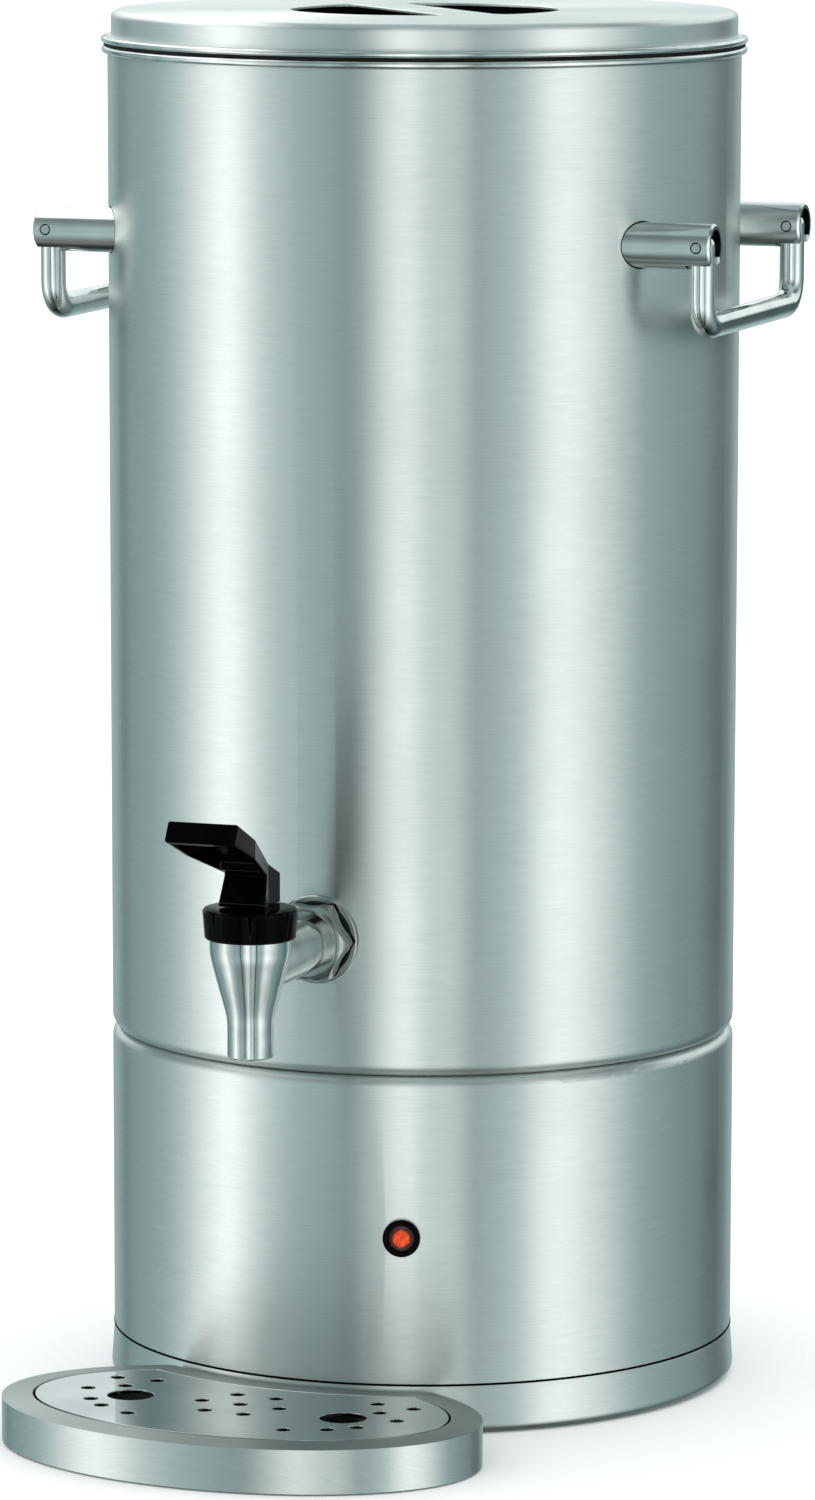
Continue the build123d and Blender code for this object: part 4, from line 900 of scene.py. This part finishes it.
lens_piece = make_piece(lens, "lamp_lens_honeycomb", "urn", lens_look, 20)
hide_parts("lamp_lens")
print("lens with", cells, "cells")

# %% [markdown]
# ## The marks round the temperature dial
# The knob at the back turns over a steel ring. Short printed lines go round it between the
# temperatures, which stand every ten degrees. The lines are thin strips and the numbers are text
# turned into meshes. Both lie a hair above the ring, as screen printing does.

# %% Print the dial
DIAL_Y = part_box("dial_ring")[1][1] / MM
DIAL_Z = 82.0
DIAL_SWEEP = 270  # degrees from the lowest number to the highest
TEMPERATURES = list(range(30, 111, 10))
MARK_STEPS = 2 * (len(TEMPERATURES) - 1)
MARK_R = 22.5
MARK_SIZE = (0.35, 2.0, 0.04)
NUMBER_SIZE = 2.8
NUMBER_THICK = 0.02
INK_PROUD = 0.01
dial_place = (
    Matrix.Translation((0, (DIAL_Y + INK_PROUD) * MM, DIAL_Z * MM))
    @ Matrix.Rotation(math.pi, 4, "Z") @ UPRIGHT
)
dial_print = bmesh.new()
for step in range(MARK_STEPS + 1):
    angle = math.radians(DIAL_SWEEP * (0.5 - step / MARK_STEPS))
    spot = Matrix.Rotation(angle, 4, "Z") @ Matrix.Translation((0, MARK_R * MM, 0))
    if step % 2:
        stretched = Matrix.Diagonal((*(size * MM for size in MARK_SIZE), 1))
        bmesh.ops.create_cube(dial_print, size=1.0, matrix=spot @ stretched)
    else:
        words = bpy.data.curves.new("number", "FONT")
        words.body = str(TEMPERATURES[step // 2])
        words.size = NUMBER_SIZE * MM
        words.extrude = NUMBER_THICK * MM
        words.align_x = "CENTER"
        words.align_y = "CENTER"
        words_object = bpy.data.objects.new("number", words)
        number = bpy.data.meshes.new_from_object(words_object)
        number.transform(spot)
        dial_print.from_mesh(number)
        bpy.data.objects.remove(words_object)
dial_print.transform(dial_place)
make_piece(dial_print, "dial_print", "urn", screen_ink, 20)
print(len(TEMPERATURES), "temperatures on the dial")

# %% [markdown]
# ## Rounded edges
# Stamping and linishing round the edges of sheet metal a little, and moulded parts leave their mould
# with small rounds. Those rounds catch the light as thin bright lines, and without them the metal
# looks cut out of card. Four CAD solids get a copy with rounded edges. The CAD mesh comes in small
# triangles, so the copy is first merged and its flat parts are made whole again. A bevel then rounds
# the chosen edges, and weighted normals keep the large faces looking flat beside them.

# %% A finer copy of a CAD solid
SAME_PLANE = 0.5  # degrees


def merged_copy(name):
    """A bmesh of a CAD solid, with the doubles merged and every flat part one face."""
    shape = bmesh.new()
    shape.from_mesh(nodes[name].data)
    bmesh.ops.remove_doubles(shape, verts=shape.verts, dist=MERGE_WITHIN * MM)
    bmesh.ops.dissolve_limit(
        shape, angle_limit=math.radians(SAME_PLANE), verts=shape.verts, edges=shape.edges
    )
    shape.normal_update()
    return shape


def keep_flats_flat(piece):
    """Gives large faces the say over shading, so that the small rounds beside them don't bend it."""
    weighted = piece.modifiers.new("flats", "WEIGHTED_NORMAL")
    weighted.weight = 100
    weighted.keep_sharp = True


def rounded_copy(node_name, ending, body, finishes, width_mm, choose):
    """Makes a copy of a CAD solid with some edges rounded. A second finish goes on the rounds."""
    shape = merged_copy(node_name)
    edges = [e for e in shape.edges if len(e.link_faces) == 2 and choose(e)]
    bmesh.ops.bevel(
        shape, geom=edges, offset=width_mm * MM, offset_type="OFFSET", segments=3, profile=0.5,
        affect="EDGES", clamp_overlap=True, material=1 if len(finishes) == 2 else -1,
    )
    piece = make_piece(shape, f"{node_name}_{ending}", body, finishes[0], 30)
    for extra in finishes[1:]:
        piece.data.materials.append(extra)
    keep_flats_flat(piece)
    print("rounded", len(edges), "edges of", node_name)
    return piece


print("the drip plate comes as", len(nodes["drip_plate"].data.polygons), "triangles")

# %% [markdown]
# ## The drip plate and its tray
# The plate is stamped from bright sheet, and its top edges and the rims of its holes are drawn in a
# little by the stamp. The tray's rim is linished by hand, which leaves a wider round. In both, the
# edges to round are those where a level top face turns down.

# %% Round the plate and the tray
PLATE_ROUND = 0.4
TRAY_ROUND = 0.6
TRAY_RIM_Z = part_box("drip_tray")[1][2] / MM - 0.1  # the rim's edges lie above this


def turns_down(edge, lowest_mm):
    """Whether an edge above lowest_mm has a level top face on one side and an upright one on the other."""
    level = max(f.normal.z for f in edge.link_faces) > 0.99
    upright = min(abs(f.normal.z) for f in edge.link_faces) < 0.3
    return level and upright and min(v.co.z for v in edge.verts) > lowest_mm * MM


plate_piece = rounded_copy(
    "drip_plate", "stamped", "tray_plate", [mirror_sheet], PLATE_ROUND,
    lambda edge: turns_down(edge, 0),
)
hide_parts("drip_plate")
tray_piece = rounded_copy(
    "drip_tray", "linished", "tray", [tray_steel], TRAY_ROUND,
    lambda edge: turns_down(edge, TRAY_RIM_Z),
)
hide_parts("drip_tray")

# %% [markdown]
# ## Painted shade round the plate
# A thin near-black strip fills the gap between the plate and the tray and paints the shade in it.
# It is made from the plate's own outer wall, so it follows every bend of it: the wall's faces are
# found by walking from the outermost one to its neighbours, all else is deleted, and what is left is
# thickened outwards and sunk a little.

# %% Make the strip of painted shade
STRIP_W = 0.8
STRIP_SINK = 0.3
strip = merged_copy("drip_plate")
sides = {f for f in strip.faces if abs(f.normal.z) < 0.5}
outer = {max(sides, key=lambda f: (f.calc_center_median().xy - Vector(TRAY_CENTRE)).length)}
fringe = list(outer)
while fringe:
    beside = {f for e in fringe.pop().edges for f in e.link_faces if f in sides} - outer
    outer |= beside
    fringe += beside
bmesh.ops.delete(strip, geom=[f for f in strip.faces if f not in outer], context="FACES")
bmesh.ops.solidify(strip, geom=strip.faces[:], thickness=-STRIP_W * MM)
bmesh.ops.translate(strip, vec=(0, 0, -STRIP_SINK * MM), verts=strip.verts)
plate_gap_shade_piece = make_piece(strip, "drip_plate_gap_shade", "tray", joint_and_gap_shade, 30)
print("strip round the plate is", round(plate_gap_shade_piece.dimensions.x / MM, 1), "mm long")

# %% [markdown]
# ## The tap's black parts
# The lever and the collar are moulded, and hands rub their edges first. A narrow round along every
# sharp edge, in a shinier finish than the faces, gives the fine light lines that draw their shape.

# %% Rub the edges of lever and collar
RUB_W = 0.22
RUB_FROM = 35  # degrees between two faces
for node_name, body in (("tap_lever", "tap_lever_arm"), ("tap_collar", "urn")):
    part_piece = rounded_copy(
        node_name, "rubbed", body, [gloss_phenolic, rubbed_phenolic], RUB_W,
        lambda edge: edge.calc_face_angle(0) > math.radians(RUB_FROM),
    )
    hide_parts(node_name)

# %% [markdown]
# ## The spring in the tap
# The coil stands between the stem's cup and the neck of the tap. When the lever lifts the stem, the
# coil gets shorter from below. Its piece here is the CAD coil, copied as it is into a mesh of its own.

# %% Copy the spring
spring = bmesh.new()
spring.from_mesh(nodes["tap_spring"].data)
spring_piece = make_piece(spring, "tap_spring_coil", "urn", polished_rod, 60)
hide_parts("tap_spring")
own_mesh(spring_piece)

# %% [markdown]
# ## The lid's shell
# The lid is spun on a lathe from a disc of sheet, so its shape is a section turned about the axis: a
# flat panel, an upright wall and a small flange that runs into the roll. The section is a list of
# radii and heights, and the shoulder is rounded afterwards with a bevel, wider outside than inside.

# %% Spin the lid
LID_STEPS = 192
LID_R = 126.0
LID_SHEET = 1.0
PANEL_R = 64.0
FLANGE_R = 128.5
SHOULDER_OUTSIDE = 3.0
SHOULDER_INSIDE = 2.0
LID_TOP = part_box("lid_shell")[1][2] / MM
LID_LOW = LID_TOP - LID_SHEET
SAME_PLACE = 1e-6  # metres
outside = [(PANEL_R, LID_TOP), (LID_R, LID_TOP), (LID_R, LID_ROLL_Z + LID_SHEET)]
flange = [(FLANGE_R, LID_ROLL_Z + LID_SHEET), (FLANGE_R, LID_ROLL_Z)]
inside_wall = [(LID_R - LID_SHEET, LID_ROLL_Z), (LID_R - LID_SHEET, LID_LOW), (PANEL_R, LID_LOW)]
lid = bmesh.new()
section = [lid.verts.new((r * MM, 0, z * MM)) for r, z in outside + flange + inside_wall]
for one, other in zip(section, section[1:]):
    lid.edges.new((one, other))
bmesh.ops.spin(
    lid, geom=lid.verts[:] + lid.edges[:], cent=(0, 0, 0), axis=(0, 0, 1), angle=math.tau,
    steps=LID_STEPS, use_merge=True,
)


def ring_edges(shape, reach_mm, height_mm):
    """The edges of a bmesh that lie on a level circle about the tank's axis."""
    def on_it(point):
        aside = abs(point.co.xy.length - reach_mm * MM)
        return aside < SAME_PLACE and abs(point.co.z - height_mm * MM) < SAME_PLACE
    return [e for e in shape.edges if on_it(e.verts[0]) and on_it(e.verts[1])]


shoulders = [(LID_R, LID_TOP, SHOULDER_OUTSIDE), (LID_R - LID_SHEET, LID_LOW, SHOULDER_INSIDE)]
for reach_mm, height_mm, round_mm in shoulders:
    bmesh.ops.bevel(
        lid, geom=ring_edges(lid, reach_mm, height_mm), offset=round_mm * MM, offset_type="OFFSET",
        segments=8, profile=0.5, affect="EDGES", material=-1,
    )
print("the spun lid has", len(lid.faces), "faces")

# %% [markdown]
# ## The finger openings
# Two finger openings are punched through the panel, with a bar left between them to lift the lid by.
# Each is half a disc with round corners. A ring of points becomes that outline when every point goes
# out in its own direction from the nearest middle of an arc. The panel is then filled in round both
# outlines, above and below, and bridges join the two layers through each opening.

# %% Punch the finger openings
GRIP_R = 54.0
BAR_HALF = 11.0
BAR_TURN = -49.0  # degrees
GRIP_CORNER_R = 5.0
EDGE_ROUND = 0.3  # the cut edge is broken by this much


def opening_ring(shape, turn, height_mm, wider_mm=0.0):
    """The outline of one finger opening, as a closed ring of edges at one height."""
    made = bmesh.ops.create_circle(shape, segments=160, radius=GRIP_R * MM)["verts"]
    place = Matrix.Translation((0, 0, height_mm * MM)) @ Matrix.Rotation(math.radians(turn), 4, "Z")
    reach = GRIP_R - GRIP_CORNER_R
    low = BAR_HALF + GRIP_CORNER_R
    for point in made:
        way = point.co.xy.normalized()
        middle = way * reach
        if middle.y < low:
            middle = Vector((math.copysign(math.sqrt(reach ** 2 - low ** 2), way.x), low))
        point.co = place @ ((middle + way * (GRIP_CORNER_R + wider_mm)) * MM).to_3d()
    return list({e for v in made for e in v.link_edges})


top_ring = ring_edges(lid, PANEL_R, LID_TOP)
low_ring = ring_edges(lid, PANEL_R, LID_LOW)
for bar_turn in (BAR_TURN, BAR_TURN + 180):
    top_hole = opening_ring(lid, bar_turn, LID_TOP, EDGE_ROUND)
    bend_hole = opening_ring(lid, bar_turn, LID_TOP - EDGE_ROUND)
    low_hole = opening_ring(lid, bar_turn, LID_LOW)
    bmesh.ops.bridge_loops(lid, edges=top_hole + bend_hole)
    bmesh.ops.bridge_loops(lid, edges=bend_hole + low_hole)
    top_ring += top_hole
    low_ring += low_hole
for ring_set in (top_ring, low_ring):
    bmesh.ops.triangle_fill(lid, use_beauty=True, edges=ring_set, normal=(0, 0, 1))
lid_piece = make_piece(lid, "lid_shell_spun", "lid", satin_lid_steel, 35)
keep_flats_flat(lid_piece)
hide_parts("lid_shell")
print("lid shell has", len(lid_piece.data.polygons), "faces")
